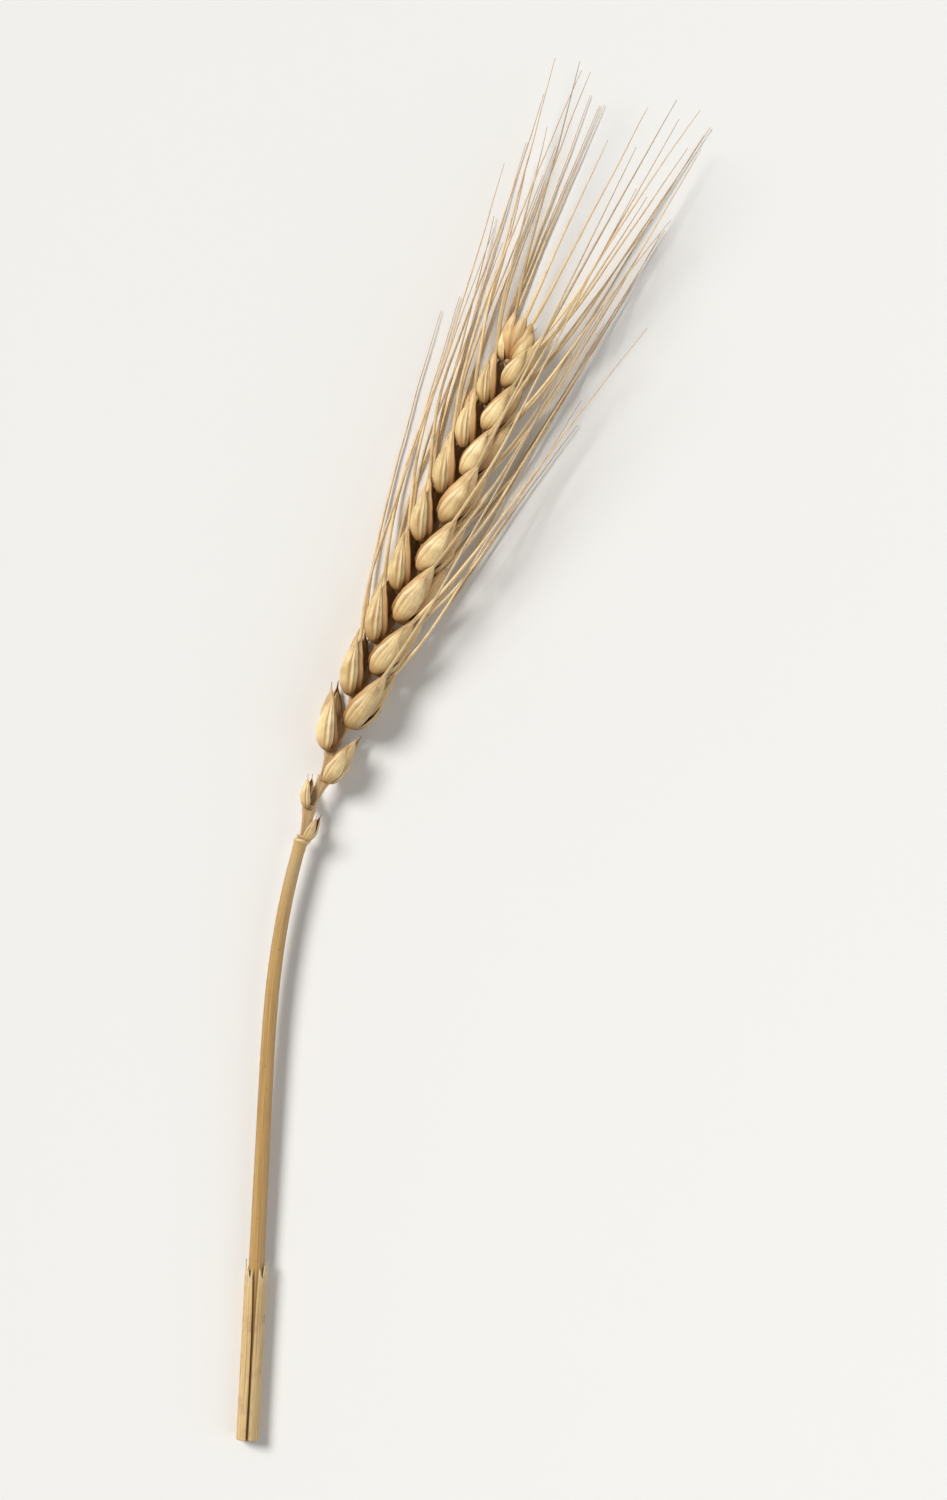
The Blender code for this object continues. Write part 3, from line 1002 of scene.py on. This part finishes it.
# Painted shade in the sheath's furrows between its veins, deeper where the veins stand higher
SHEATH_FURROW_SHADE = (0.0, 0.9, 1.0, (0.24, 0.12, 0.05, 1))
SHEATH_STAIN = (0.55, 4.0, 0.6, (0.33, 0.19, 0.09, 1))
SHEATH_MOUTH = (0.9, 5.0, 1.0, (0.78, 0.66, 0.46, 1))
RACHIS_EDGE = (0.0, 0.55, 1.0, (0.76, 0.60, 0.36, 1))
RACHIS_FIBRE = (0.45, 1.8, 1.0, (0.38, 0.22, 0.09, 1))

# Colours that are mixed evenly, and the colour of the nerves
HUSK_NERVE = (0.36, 0.20, 0.08, 1)
# The husks' inner side is painted shade, darker and redder than their straw
INNER_SHADE_DARK = (0.22, 0.09, 0.03, 1)
INNER_SHADE_PALE = (0.42, 0.21, 0.08, 1)
TABLE_DARK = (0.83, 0.83, 0.82, 1)
TABLE_PALE = (0.86, 0.86, 0.85, 1)

# Bumps to the metre in each finish's cloud of noise
HUSK_CLOUD = 420.0
INNER_CLOUD = 700.0
BRISTLE_CLOUD = 600.0
STALK_CLOUD = 900.0
SHEATH_CLOUD = 260.0
TABLE_CLOUD = 3.0

# Streaks in each finish: how close they are across it and along it
HUSK_STREAKS = (20.0, 1.6)
HUSK_STREAK_SHIFT = (30.0, 9.0)
STALK_STREAKS = (3.2, 3.0)
STALK_FIBRES = (16.0, 7.0)
SHEATH_STREAKS = (26.0, 3.2)
RACHIS_FIBRES = (40.0, 3.0)

# How narrow the lines on a finish are, how much they are worn away, and how
# far blotches carry a husk's colours up and down it
NERVE_LINE_FADE = 0.4
NERVE_LINE_WEAR = (-0.35, 1.25)
FURROW_NARROWNESS = 1.5
EDGE_NARROWNESS = 8
COLOUR_DRIFT = 0.16

# Depth of the fine relief in each finish, and the broad streaks' share of it
BROAD_RELIEF = 0.4
HUSK_RELIEF = 0.08 * MM
STALK_RELIEF = 0.04 * MM
SHEATH_RELIEF = 0.05 * MM
RACHIS_RELIEF = 0.04 * MM

# Range of each finish's shade from piece to piece, and of its roughness
HUSK_SHADES = (0.84, 1.14)
HUSK_GREENNESS = (0.96, 1.02)
HUSK_BLUENESS = (0.88, 1.04)
HUSK_ROUGHNESS = (0.295, 0.545)
HUSK_GLOSS = 0.42
BRISTLE_SHADES = (0.72, 1.22)
BRISTLE_ROUGHNESS = (0.27, 0.57)
STALK_ROUGHNESS = (0.17, 0.47)
STALK_GLOSS = 0.55
SHEATH_ROUGHNESS = 0.62
INNER_ROUGHNESS = 0.5
STEM_ROUGHNESS = 0.5
TABLE_ROUGHNESS = 0.75

# What sets one kind of husk apart from another
GLUME_LOOK = {
    "stops": GLUME_STOPS,
    "edge": (0.84, 0.70, 0.45, 1),
    "edge_from": 0.8,
    "edge_share": 0.6,
    "nerves": 8,
    "nerve_share": 0.22,
}
LEMMA_LOOK = {
    "stops": FLORET_STOPS,
    # The lemma's darker edges are painted shade where its margins lie beside and under the glume
    "edge": (0.50, 0.25, 0.09, 1),
    "edge_from": 0.55,
    "edge_share": 0.85,
    "nerves": 6,
    "nerve_share": 0.4,
}
PALEA_LOOK = {
    "stops": PALEA_STOPS,
    "edge": (0.60, 0.40, 0.18, 1),
    "edge_from": 0.8,
    "edge_share": 0.5,
    "nerves": 2,
    "nerve_share": 0.5,
}


def new_finish(name):
    material = bpy.data.materials.new(name)
    material.use_nodes = True
    tree = material.node_tree
    shader = tree.nodes["Principled BSDF"]
    return material, tree, shader


def attribute(tree, name):
    node = add_node(tree, "ShaderNodeAttribute", attribute_name=name)
    return Sum(tree, node.outputs["Fac"])


def blend_colours(tree, share, first, second, mode="MIX"):
    node = add_node(
        tree,
        "ShaderNodeMix",
        {0: share, 6: first, 7: second},
        data_type="RGBA",
        blend_type=mode,
    )
    return node.outputs[2]


def mark(tree, colour, number, look):
    """Lays a mark over a colour, stronger the further the number is past its start."""
    start, gain, most, over = look
    share = ((number - start).most(0.0) * gain).least(most)
    return blend_colours(tree, share, colour, over)


def colour_ramp(tree, share, stops):
    node = add_node(tree, "ShaderNodeValToRGB", {0: share})
    ramp = node.color_ramp
    while len(ramp.elements) < len(stops):
        ramp.elements.new(0.5)
    for element, (place, colour) in zip(ramp.elements, stops):
        element.position = place
        element.color = (*colour, 1.0)
    return node.outputs[0]


def bump(tree, height, distance):
    """A normal for a finish, tilted by the slope of the height."""
    node = add_node(
        tree, "ShaderNodeBump", {"Height": height, "Distance": distance, "Strength": 1.0}
    )
    return node.outputs[0]


def husk_finish(name, stops, edge, edge_from, edge_share, nerves, nerve_share):
    """Dry husk: a gradient from root to tip, nerves, blotches and edges, with a painted highlight
    on the keel and painted shade in its groove; the glume's pale thin edges are its own, the
    lemma's dark edges are painted shade.
    """
    material, tree, shader = new_finish(name)
    coordinates = add_node(tree, "ShaderNodeTexCoord")
    u, v, _ = parts_of(tree, coordinates.outputs["UV"])
    tint = attribute(tree, "tint")
    blotch = noise(tree, coordinates.outputs["Object"], HUSK_CLOUD)
    across, along = HUSK_STREAKS
    aside, apart = HUSK_STREAK_SHIFT
    streaks = vector(tree, u * across + tint * aside, v * along, tint * apart)
    grain = noise(tree, streaks, 1.0, 4.0)
    colour = colour_ramp(tree, v + (blotch - 0.5) * COLOUR_DRIFT, stops)
    colour = mark(tree, colour, blotch, HUSK_BLOTCH)
    nerve = 1 - (nerve_phase(u, v, nerves).sin() ** 2) ** NERVE_LINE_FADE
    lined = nerve * blotch.spread(*NERVE_LINE_WEAR).most(0.0)
    colour = blend_colours(tree, lined * nerve_share, colour, HUSK_NERVE)
    colour = mark(tree, colour, grain, HUSK_GRAIN)
    # Painted shade in the groove and a painted highlight along the keel
    colour = mark(tree, colour, attribute(tree, "groove"), HUSK_GROOVE_SHADE)
    colour = mark(tree, colour, attribute(tree, "ridge"), HUSK_KEEL_HIGHLIGHT)
    # Edge colour: the glume's own paler margins, and painted shade on the lemma's margins
    rim = (((u - 0.5).size() * 2 - edge_from) / (1 - edge_from)).most(0.0)
    colour = blend_colours(tree, rim * edge_share, colour, edge)
    shade = tint.spread(*HUSK_SHADES)
    greenness = shade * tint.spread(*HUSK_GREENNESS)
    blueness = shade * tint.spread(*HUSK_BLUENESS)
    shades = vector(tree, shade, greenness, blueness)
    colour = blend_colours(tree, 1.0, colour, shades, "MULTIPLY")
    look = {
        "Base Color": colour,
        "Roughness": grain.spread(*HUSK_ROUGHNESS),
        "Specular IOR Level": HUSK_GLOSS,
        "Normal": bump(tree, grain - nerve * nerve_share, HUSK_RELIEF),
    }
    fill_in(tree, shader, look)
    return material


def inner_finish():
    """The inner side of every husk, painted darker and redder as shade."""
    material, tree, shader = new_finish("inner_husk_shade")
    coordinates = add_node(tree, "ShaderNodeTexCoord")
    cloud = noise(tree, coordinates.outputs["Object"], INNER_CLOUD)
    colour = blend_colours(tree, cloud, INNER_SHADE_DARK, INNER_SHADE_PALE)
    fill_in(tree, shader, {"Base Color": colour, "Roughness": INNER_ROUGHNESS})
    return material


def bristle_finish(name, stops):
    """Bristle straw: coloured from root to tip, with darker flecks."""
    material, tree, shader = new_finish(name)
    coordinates = add_node(tree, "ShaderNodeTexCoord")
    run = attribute(tree, "run")
    tint = attribute(tree, "tint")
    fleck = noise(tree, coordinates.outputs["Object"], BRISTLE_CLOUD, 2.0)
    colour = colour_ramp(tree, run, stops)
    colour = mark(tree, colour, fleck, BRISTLE_FLECK)
    shade = tint.spread(*BRISTLE_SHADES)
    shades = vector(tree, shade, shade, shade)
    colour = blend_colours(tree, 1.0, colour, shades, "MULTIPLY")
    rough = fleck.spread(*BRISTLE_ROUGHNESS)
    fill_in(tree, shader, {"Base Color": colour, "Roughness": rough})
    return material


def stalk_finish():
    """Stalk straw: long streaks, a browner cut end and weather specks."""
    material, tree, shader = new_finish("stalk_straw")
    coordinates = add_node(tree, "ShaderNodeTexCoord")
    run = attribute(tree, "run")
    around = attribute(tree, "around")
    turn = around * (2 * math.pi)
    across, along = STALK_STREAKS
    broad = vector(tree, turn.cos() * across, turn.sin() * across, run * along)
    streak = noise(tree, broad, 2.0, 5.0, 0.6)
    across, along = STALK_FIBRES
    narrow = vector(tree, turn.cos() * across, turn.sin() * across, run * along)
    fibre = noise(tree, narrow, 2.0, 3.0)
    speck = noise(tree, coordinates.outputs["Object"], STALK_CLOUD, 2.0)
    colour = colour_ramp(tree, streak, STALK_STOPS)
    colour = mark(tree, colour, fibre, STALK_FIBRE)
    colour = mark(tree, colour, 1 - run, STALK_CUT_END)
    colour = mark(tree, colour, run, STALK_TOP)
    colour = mark(tree, colour, speck, STALK_SPECK)
    look = {
        "Base Color": colour,
        "Roughness": fibre.spread(*STALK_ROUGHNESS),
        "Specular IOR Level": STALK_GLOSS,
        "Normal": bump(tree, fibre + streak * BROAD_RELIEF, STALK_RELIEF),
    }
    fill_in(tree, shader, look)
    return material


def sheath_finish():
    """Dry sheath: pale papery straw with long streaks, and painted shade in the furrows between
    its veins.
    """
    material, tree, shader = new_finish("sheath_straw")
    coordinates = add_node(tree, "ShaderNodeTexCoord")
    u, v, _ = parts_of(tree, coordinates.outputs["UV"])
    across, along = SHEATH_STREAKS
    streak = noise(tree, vector(tree, u * across, v * along, 0.0), 1.0, 5.0, 0.62)
    blotch = noise(tree, coordinates.outputs["Object"], SHEATH_CLOUD)
    vein = attribute(tree, "vein")
    strength = attribute(tree, "vein_strength")
    colour = colour_ramp(tree, streak, SHEATH_STOPS)
    # Painted shade in the furrows, stronger where the veins are higher
    furrow_shade = (1 - vein) ** FURROW_NARROWNESS * strength
    colour = mark(tree, colour, furrow_shade, SHEATH_FURROW_SHADE)
    colour = mark(tree, colour, blotch, SHEATH_STAIN)
    colour = mark(tree, colour, v, SHEATH_MOUTH)
    look = {
        "Base Color": colour,
        "Roughness": SHEATH_ROUGHNESS,
        "Normal": bump(tree, streak + vein * strength * BROAD_RELIEF, SHEATH_RELIEF),
    }
    fill_in(tree, shader, look)
    return material


def rachis_finish(name, stops):
    """Middle stem of the head: flat straw with paler edges and rims."""
    material, tree, shader = new_finish(name)
    coordinates = add_node(tree, "ShaderNodeTexCoord")
    u, v, _ = parts_of(tree, coordinates.outputs["UV"])
    across, along = RACHIS_FIBRES
    fibre = noise(tree, vector(tree, u * across, v * along, 0.0), 1.0, 4.0)
    colour = colour_ramp(tree, v, stops)
    edge = (u * (2 * math.pi)).cos() ** EDGE_NARROWNESS
    colour = mark(tree, colour, edge, RACHIS_EDGE)
    colour = mark(tree, colour, fibre, RACHIS_FIBRE)
    normal = bump(tree, fibre, RACHIS_RELIEF)
    look = {"Base Color": colour, "Roughness": STEM_ROUGHNESS, "Normal": normal}
    fill_in(tree, shader, look)
    return material


def table_finish():
    material, tree, shader = new_finish("pale_table")
    coordinates = add_node(tree, "ShaderNodeTexCoord")
    cloud = noise(tree, coordinates.outputs["Object"], TABLE_CLOUD)
    colour = blend_colours(tree, cloud, TABLE_DARK, TABLE_PALE)
    fill_in(tree, shader, {"Base Color": colour, "Roughness": TABLE_ROUGHNESS})
    return material


# The pieces


def all_husks():
    """Every husk of the head, from the foot up."""
    return [h for i, s in enumerate(joints()) for h in spikelet(i, s)]


def fitted(husks, size, root_out=0.0, tip_out=0.0, lift=0.0):
    """Places for husks, with how large each is against its solid.

    Its root and tip are moved out of the head, and all of it out of its back,
    by shares of its width.
    """
    wide, deep, long = size
    places = []
    for h in husks:
        length, width, depth = h["size"]
        out = h["out"] * width
        root = h["matrix"] @ Vector((0, lift * width, 0)) + out * root_out
        tip = h["matrix"] @ Vector((0, lift * width, length)) + out * tip_out
        back = h["matrix"].to_3x3() @ Vector((0, 1, 0))
        matrix = husk_matrix(root, tip - root, back)
        measure = (width * wide, depth * deep, length * long)
        places.append({"matrix": matrix, "measure": measure})
    return places


def make_husks(name, husks, fit, shell, keels, finish, inner):
    """Thin shells on the husks' places: one piece for each hand of keel."""
    pieces = []
    for hand, keel in keels.items():
        chosen = [h for h in husks if h["mirrored"] == (hand == "left")]
        sizes = {**shell, "Keel Place": keel, "Material": finish}
        start = bpy.data.meshes.new("pattern")
        pattern = grow("pattern", start, husk_shell_tree(), sizes)
        places = fitted(chosen, **fit)
        piece = set_copies(f"{hand}_{name}", pattern, places, finish, HUSK_CRUMPLE)
        give_wall(piece, HUSK_WALL, inner)
        settle(piece)
        pieces.append(piece)
    return pieces


def make_glumes(husks, inner):
    """The two stiff outer husks of every spikelet."""
    finish = husk_finish("glume_straw", **GLUME_LOOK)
    glumes = [h for h in husks if "glume" in h["name"]]
    shell = {
        "Across": 37,
        "Along": 28,
        "Wrap": 0.22,
        "Fullness": 0.76,
        "Keel": 0.2,
        "Groove": 0.13,
        "Nerves": 8.0,
        "Nerve Height": 0.008,
        "Beak": 0.13,
        "Beak Width": 0.11,
        "Flare": 0.05,
    }
    return make_husks("glumes", glumes, GLUME_FIT, shell, GLUME_KEELS, finish, inner)


def make_lemmas(husks, inner):
    """The outer husk of every floret, which runs out into its bristle."""
    finish = husk_finish("lemma_straw", **LEMMA_LOOK)
    florets = [h for h in husks if "floret" in h["name"]]
    shell = {
        "Across": 29,
        "Along": 28,
        "Wrap": 0.55,
        "Fullness": 0.75,
        "Keel": 0.12,
        "Nerves": 6.0,
        "Nerve Height": 0.06,
        "Beak": 0.12,
        "Beak Width": 0.17,
    }
    return make_husks("lemmas", florets, LEMMA_FIT, shell, MIDDLE_KEELS, finish, inner)


def make_paleas(husks, inner):
    """The inner husk of every floret, which faces its outer one."""
    finish = husk_finish("palea_straw", **PALEA_LOOK)
    florets = []
    for h in husks:
        if "floret" in h["name"]:
            turned = dict(h)
            turned["matrix"] = h["matrix"] @ Matrix.Rotation(math.pi, 4, "Z")
            florets.append(turned)
    shell = {
        "Across": 15,
        "Along": 18,
        "Wrap": 0.0,
        "Back": 1 - BACK_SHARE,
        "Belly": BACK_SHARE,
        "Bow": -BOW,
        "Keel": 0.0,
        "Nerves": 2.0,
        "Nerve Height": 0.05,
        "Beak": 0.02,
        "Beak Width": 0.08,
    }
    return make_husks("paleas", florets, PALEA_FIT, shell, MIDDLE_KEELS, finish, inner)


def make_awns(husks):
    """The bristles of all the fertile florets."""
    finish = bristle_finish("awn_straw", AWN_STOPS)
    paths = [
        awn_path(h)
        for h in husks
        if "floret" in h["name"] and h["spikelet"] >= FIRST_WITH_AWNS
    ]
    lines = lines_mesh("awns", paths)
    sizes = {"Points": 2 * AWN_STEPS + 1, "Wobble": AWN_WOBBLE, "Material": finish}
    awns = grow("awns", lines, bristle_tree(), sizes)
    settle(awns)
    return awns


def ring_point(turn, wide, deep, height, hollow):
    """A point of an oval ring, whose two broad sides may be hollowed."""
    hollowed = 1 - hollow * math.sin(turn) ** HOLLOW_NARROWNESS
    return (wide * math.cos(turn), deep * math.sin(turn) * hollowed, height)


def turned_shape(name, profile, sides, material, hollow=0.0):
    """A closed shape of rings: each is a height, half width and half depth."""
    shape = bmesh.new()
    layer = shape.loops.layers.uv.new("UVMap")
    turns = [2 * math.pi * n / sides for n in range(sides)]
    rings = [
        [shape.verts.new(ring_point(turn, wide, deep, height, hollow)) for turn in turns]
        for height, wide, deep in profile
    ]
    for k, (low, high) in enumerate(zip(rings, rings[1:])):
        for n in range(sides):
            m = (n + 1) % sides
            face = shape.faces.new((low[n], low[m], high[m], high[n]))
            face.smooth = True
            spots = ((n, k), (n + 1, k), (n + 1, k + 1), (n, k + 1))
            for loop, (a, b) in zip(face.loops, spots):
                loop[layer].uv = (a / sides, b / (len(profile) - 1))
    shape.faces.new(rings[0][::-1])
    shape.faces.new(rings[-1])
    mesh = bpy.data.meshes.new(name)
    shape.to_mesh(mesh)
    shape.free()
    mesh.materials.append(material)
    return show(name, mesh)


# Outlines of turned shapes: each ring's height, half width and half depth. The
# neck's are in millimetres, and it is round.
RACHIS_PROFILE = [
    (-0.04, 0.52, 0.46),
    (0.06, 0.66, 0.52),
    (0.25, 0.70, 0.52),
    (0.70, 0.86, 0.56),
    (0.86, 1.00, 0.66),
    (0.93, 1.14, 0.80),
    (0.98, 1.10, 0.78),
    (1.00, 0.92, 0.64),
    (1.04, 0.66, 0.46),
]
COLLAR_PROFILE = [
    (-0.50, 0.70, 0.70),
    (-0.30, 0.78, 0.78),
    (0.00, 0.86, 0.86),
    (0.22, 1.00, 1.00),
    (0.40, 1.02, 1.02),
    (0.50, 0.94, 0.94),
    (0.46, 0.80, 0.80),
]
NECK_PROFILE = [
    (-3.60, 0.940),
    (-3.00, 1.000),
    (-2.40, 1.035),
    (-1.80, 1.060),
    (-1.30, 1.080),
    (-0.95, 1.110),
    (-0.72, 1.180),
    (-0.52, 1.290),
    (-0.36, 1.330),
    (-0.22, 1.290),
    (-0.12, 1.190),
    (-0.05, 1.080),
]
SEAT_PROFILE = [
    (-1.0, 0.20, 0.20),
    (-0.8, 0.60, 0.60),
    (-0.3, 0.95, 0.95),
    (0.3, 0.95, 0.95),
    (0.8, 0.60, 0.60),
    (1.0, 0.20, 0.20),
]


def make_rachis(finish):
    """Flattened segments from joint to joint, each with a rim at its top."""
    segment = turned_shape("segment", RACHIS_PROFILE, 24, finish, RACHIS_HOLLOW)
    lengths = joints()
    places = []
    for i in range(1, SPIKELETS):
        low = joint_point(i - 1, lengths[i - 1])
        high = joint_point(i, lengths[i])
        _, face, _ = joint_frame(lengths[i])
        radius = rachis_radius(i) * RACHIS_SWELL
        matrix = husk_matrix(low, high - low, face)
        places.append({"matrix": matrix, "measure": (radius, radius, (high - low).length)})
    return set_copies("rachis", segment, places, finish)


def make_collars(finish):
    """The swollen rims at the foot of the head."""
    ring = turned_shape("ring", COLLAR_PROFILE, 28, finish)
    places = []
    for i, s in enumerate(joints()[:COLLARS]):
        _, face, along = joint_frame(s)
        radius = COLLAR_RADIUS * mix(1.0, LAST_COLLAR_SHARE, i / (COLLARS - 1))
        matrix = husk_matrix(joint_point(i, s), along, face)
        places.append({"matrix": matrix, "measure": (radius, radius, COLLAR_HEIGHT)})
    return set_copies("collars", ring, places, finish)


def make_neck():
    """The swollen ring that joins the head to the top of the stalk.

    It is bent so that its foot clasps the stalk and its top meets the collar.
    """
    profile = [(height * MM, wide * MM, wide * MM) for height, wide in NECK_PROFILE]
    finish = rachis_finish("neck_straw", NECK_STOPS)
    neck = turned_shape("head_neck", profile, 40, finish)
    first = joints()[0]
    for vertex in neck.data.vertices:
        x, y, height = vertex.co
        right, face, _ = axis_frame(first + height)
        shift = right * side(0) * ZIGZAG * smooth(height, NECK_STEP_FROM, 0)
        vertex.co = axis_point(first + height) + shift + right * x + face * y
    return neck


def make_seats(finish):
    """The small pads that the husks stand on."""
    pad = turned_shape("pad", SEAT_PROFILE, 16, finish)
    places = []
    for i, s in enumerate(joints()):
        out, face, along = joint_frame(s)
        size = spikelet_size(i) * MM
        place = joint_point(i, s) + out * side(i) * SEAT_OUT * size
        matrix = husk_matrix(place, along, face)
        places.append({"matrix": matrix, "measure": [x * size for x in SEAT]})
    return set_copies("seats", pad, places, finish)


def make_hairs():
    """Short pale hairs along the edges of the middle stem, thickest at a joint."""
    finish = bristle_finish("hair_straw", HAIR_STOPS)
    lengths = joints()
    paths = []
    for i in range(SPIKELETS):
        out, face, along = joint_frame(lengths[i])
        joint = joint_point(i, lengths[i])
        root_out = rachis_radius(i) * HAIR_ROOT_OUT
        for n in range(HAIRS_PER_JOINT):
            edge = 1 if n % 2 else -1
            spread = draw(-HAIR_SPREAD, HAIR_SPREAD, i, n, "spread")
            back = draw(0, 1, i, n, "back") ** 2 * HAIR_REACH_BACK
            outward = (out * math.cos(spread) + face * math.sin(spread)) * edge
            root = joint - along * back + outward * root_out
            half = HAIR_LENGTH * draw(*HAIR_LENGTH_RANGE, i, n, "hair") / 2
            lean = draw(*HAIR_LEAN_RANGE, i, n, "hair lean")
            bend = root + (along * math.cos(lean) + outward * math.sin(lean)) * half
            tip = bend + (along + outward * HAIR_TIP_LEAN).normalized() * half
            paths.append([root, bend, tip])
    sizes = {
        "Root Radius": HAIR_RADIUS,
        "Tip Radius": HAIR_RADIUS * HAIR_TIP_SHARE,
        "Sides": 3,
        "Points": 4,
        "Material": finish,
    }
    return grow("rachis_hairs", lines_mesh("hairs", paths), bristle_tree(), sizes)


def make_stalk():
    """A hollow, ribbed straw along the lower part of the middle line."""
    step = STALK_LENGTH / STALK_RINGS
    path = [axis_point(n * step) for n in range(STALK_RINGS + 1)]
    lines = lines_mesh("stalk_straw", [path])
    sizes = {
        "Low Radius": STALK_RADIUS_LOW - STALK_RIB_HEIGHT,
        "High Radius": STALK_RADIUS_HIGH - STALK_RIB_HEIGHT,
        "Material": stalk_finish(),
    }
    piece = grow("hollow_stalk", lines, ribbed_straw_tree(), sizes)
    give_wall(piece, STRAW_WALL)
    return piece


def make_sheath():
    """A split, veined sheet rolled round the stalk, with a frayed mouth."""
    finish = sheath_finish()
    shape = bmesh.new()
    layer = shape.loops.layers.uv.new("UVMap")
    rows = [
        [
            shape.verts.new(sheath_point(k / SHEATH_RINGS, n / SHEATH_COLUMNS))
            for n in range(SHEATH_COLUMNS + 1)
        ]
        for k in range(SHEATH_RINGS + 1)
    ]
    for k, (low, high) in enumerate(zip(rows, rows[1:])):
        for n in range(SHEATH_COLUMNS):
            face = shape.faces.new((low[n], high[n], high[n + 1], low[n + 1]))
            spots = ((n, k), (n, k + 1), (n + 1, k + 1), (n + 1, k))
            for loop, (a, b) in zip(face.loops, spots):
                loop[layer].uv = (a / SHEATH_COLUMNS, b / SHEATH_RINGS)
    shape.normal_update()
    mesh = bpy.data.meshes.new("sheath_sheet")
    shape.to_mesh(mesh)
    shape.free()
    piece = grow("split_sheath", mesh, raised_vein_tree(), {"Material": finish})
    give_wall(piece, SHEATH_WALL)
    settle(piece)
    return piece


def make_head():
    husks = all_husks()
    inner = inner_finish()
    stem = rachis_finish("rachis_straw", RACHIS_STOPS)
    pieces = [
        *make_glumes(husks, inner),
        *make_lemmas(husks, inner),
        *make_paleas(husks, inner),
        make_awns(husks),
        make_rachis(stem),
        make_collars(stem),
        make_neck(),
        make_seats(stem),
        make_hairs(),
    ]
    for piece in pieces:
        finish_piece(piece, "husk", "ear_head")


# Table, light and camera


def make_table():
    bpy.ops.mesh.primitive_plane_add(size=TABLE_SIZE)
    table = bpy.context.object
    table.name = "table"
    table.data.materials.append(table_finish())


def add_light(name, kind, place, target, strength, colour):
    """A light at a place, turned to its target."""
    light = bpy.data.lights.new(name, kind)
    light.energy = strength
    light.color = colour
    obj = show(name, light)
    obj.location = place
    obj.rotation_euler = (target - place).to_track_quat("-Z", "Y").to_euler()
    return light


def make_light(middle):
    """A broad soft sun, a weak lamp and a pale room."""
    sun = add_light("key", "SUN", middle + SUN_FROM, middle, SUN_STRENGTH, SUN_COLOUR)
    sun.angle = SUN_SPREAD
    lamp = add_light("fill", "AREA", middle + LAMP_FROM, middle, LAMP_WATTS, LAMP_COLOUR)
    lamp.shape = "SQUARE"
    lamp.size = LAMP_SIZE
    world = bpy.data.worlds.new("soft_room")
    bpy.context.scene.world = world
    world.use_nodes = True
    tree = world.node_tree
    sight = add_node(tree, "ShaderNodeTexCoord")
    _, _, height = parts_of(tree, sight.outputs["Generated"])
    horizon = (1 - height.size() * HORIZON_FALL).most(0.0) ** 2
    glow = horizon * HORIZON_LIGHT + ROOM_LIGHT
    fill_in(tree, tree.nodes["Background"], {"Color": ROOM_COLOUR, "Strength": glow})


def make_camera(middle, height):
    """Looks straight down, with the cut end at the foot of the picture."""
    data = bpy.data.cameras.new("camera")
    data.lens = CAMERA_LENS
    data.sensor_width = CAMERA_SENSOR
    data.sensor_fit = "VERTICAL"
    data.sensor_height = CAMERA_SENSOR
    data.clip_start = CAMERA_NEAR
    data.clip_end = CAMERA_FAR
    camera = show("camera", data)
    away = height / PICTURE_SHARE * CAMERA_LENS / CAMERA_SENSOR
    camera.location = middle + UP * away
    camera.rotation_euler = (0.0, 0.0, 0.0)
    bpy.context.scene.camera = camera


def main():
    low, high = (Vector(corner) for corner in cad_box)
    middle = (low + high) / 2
    make_camera(middle, high.y - low.y)
    make_head()
    finish_piece(make_stalk(), "straw", "stalk")
    finish_piece(make_sheath(), "sheath", "leaf_sheath")
    make_table()
    make_light(middle)
    bpy.context.scene.view_settings.view_transform = "Standard"


main()
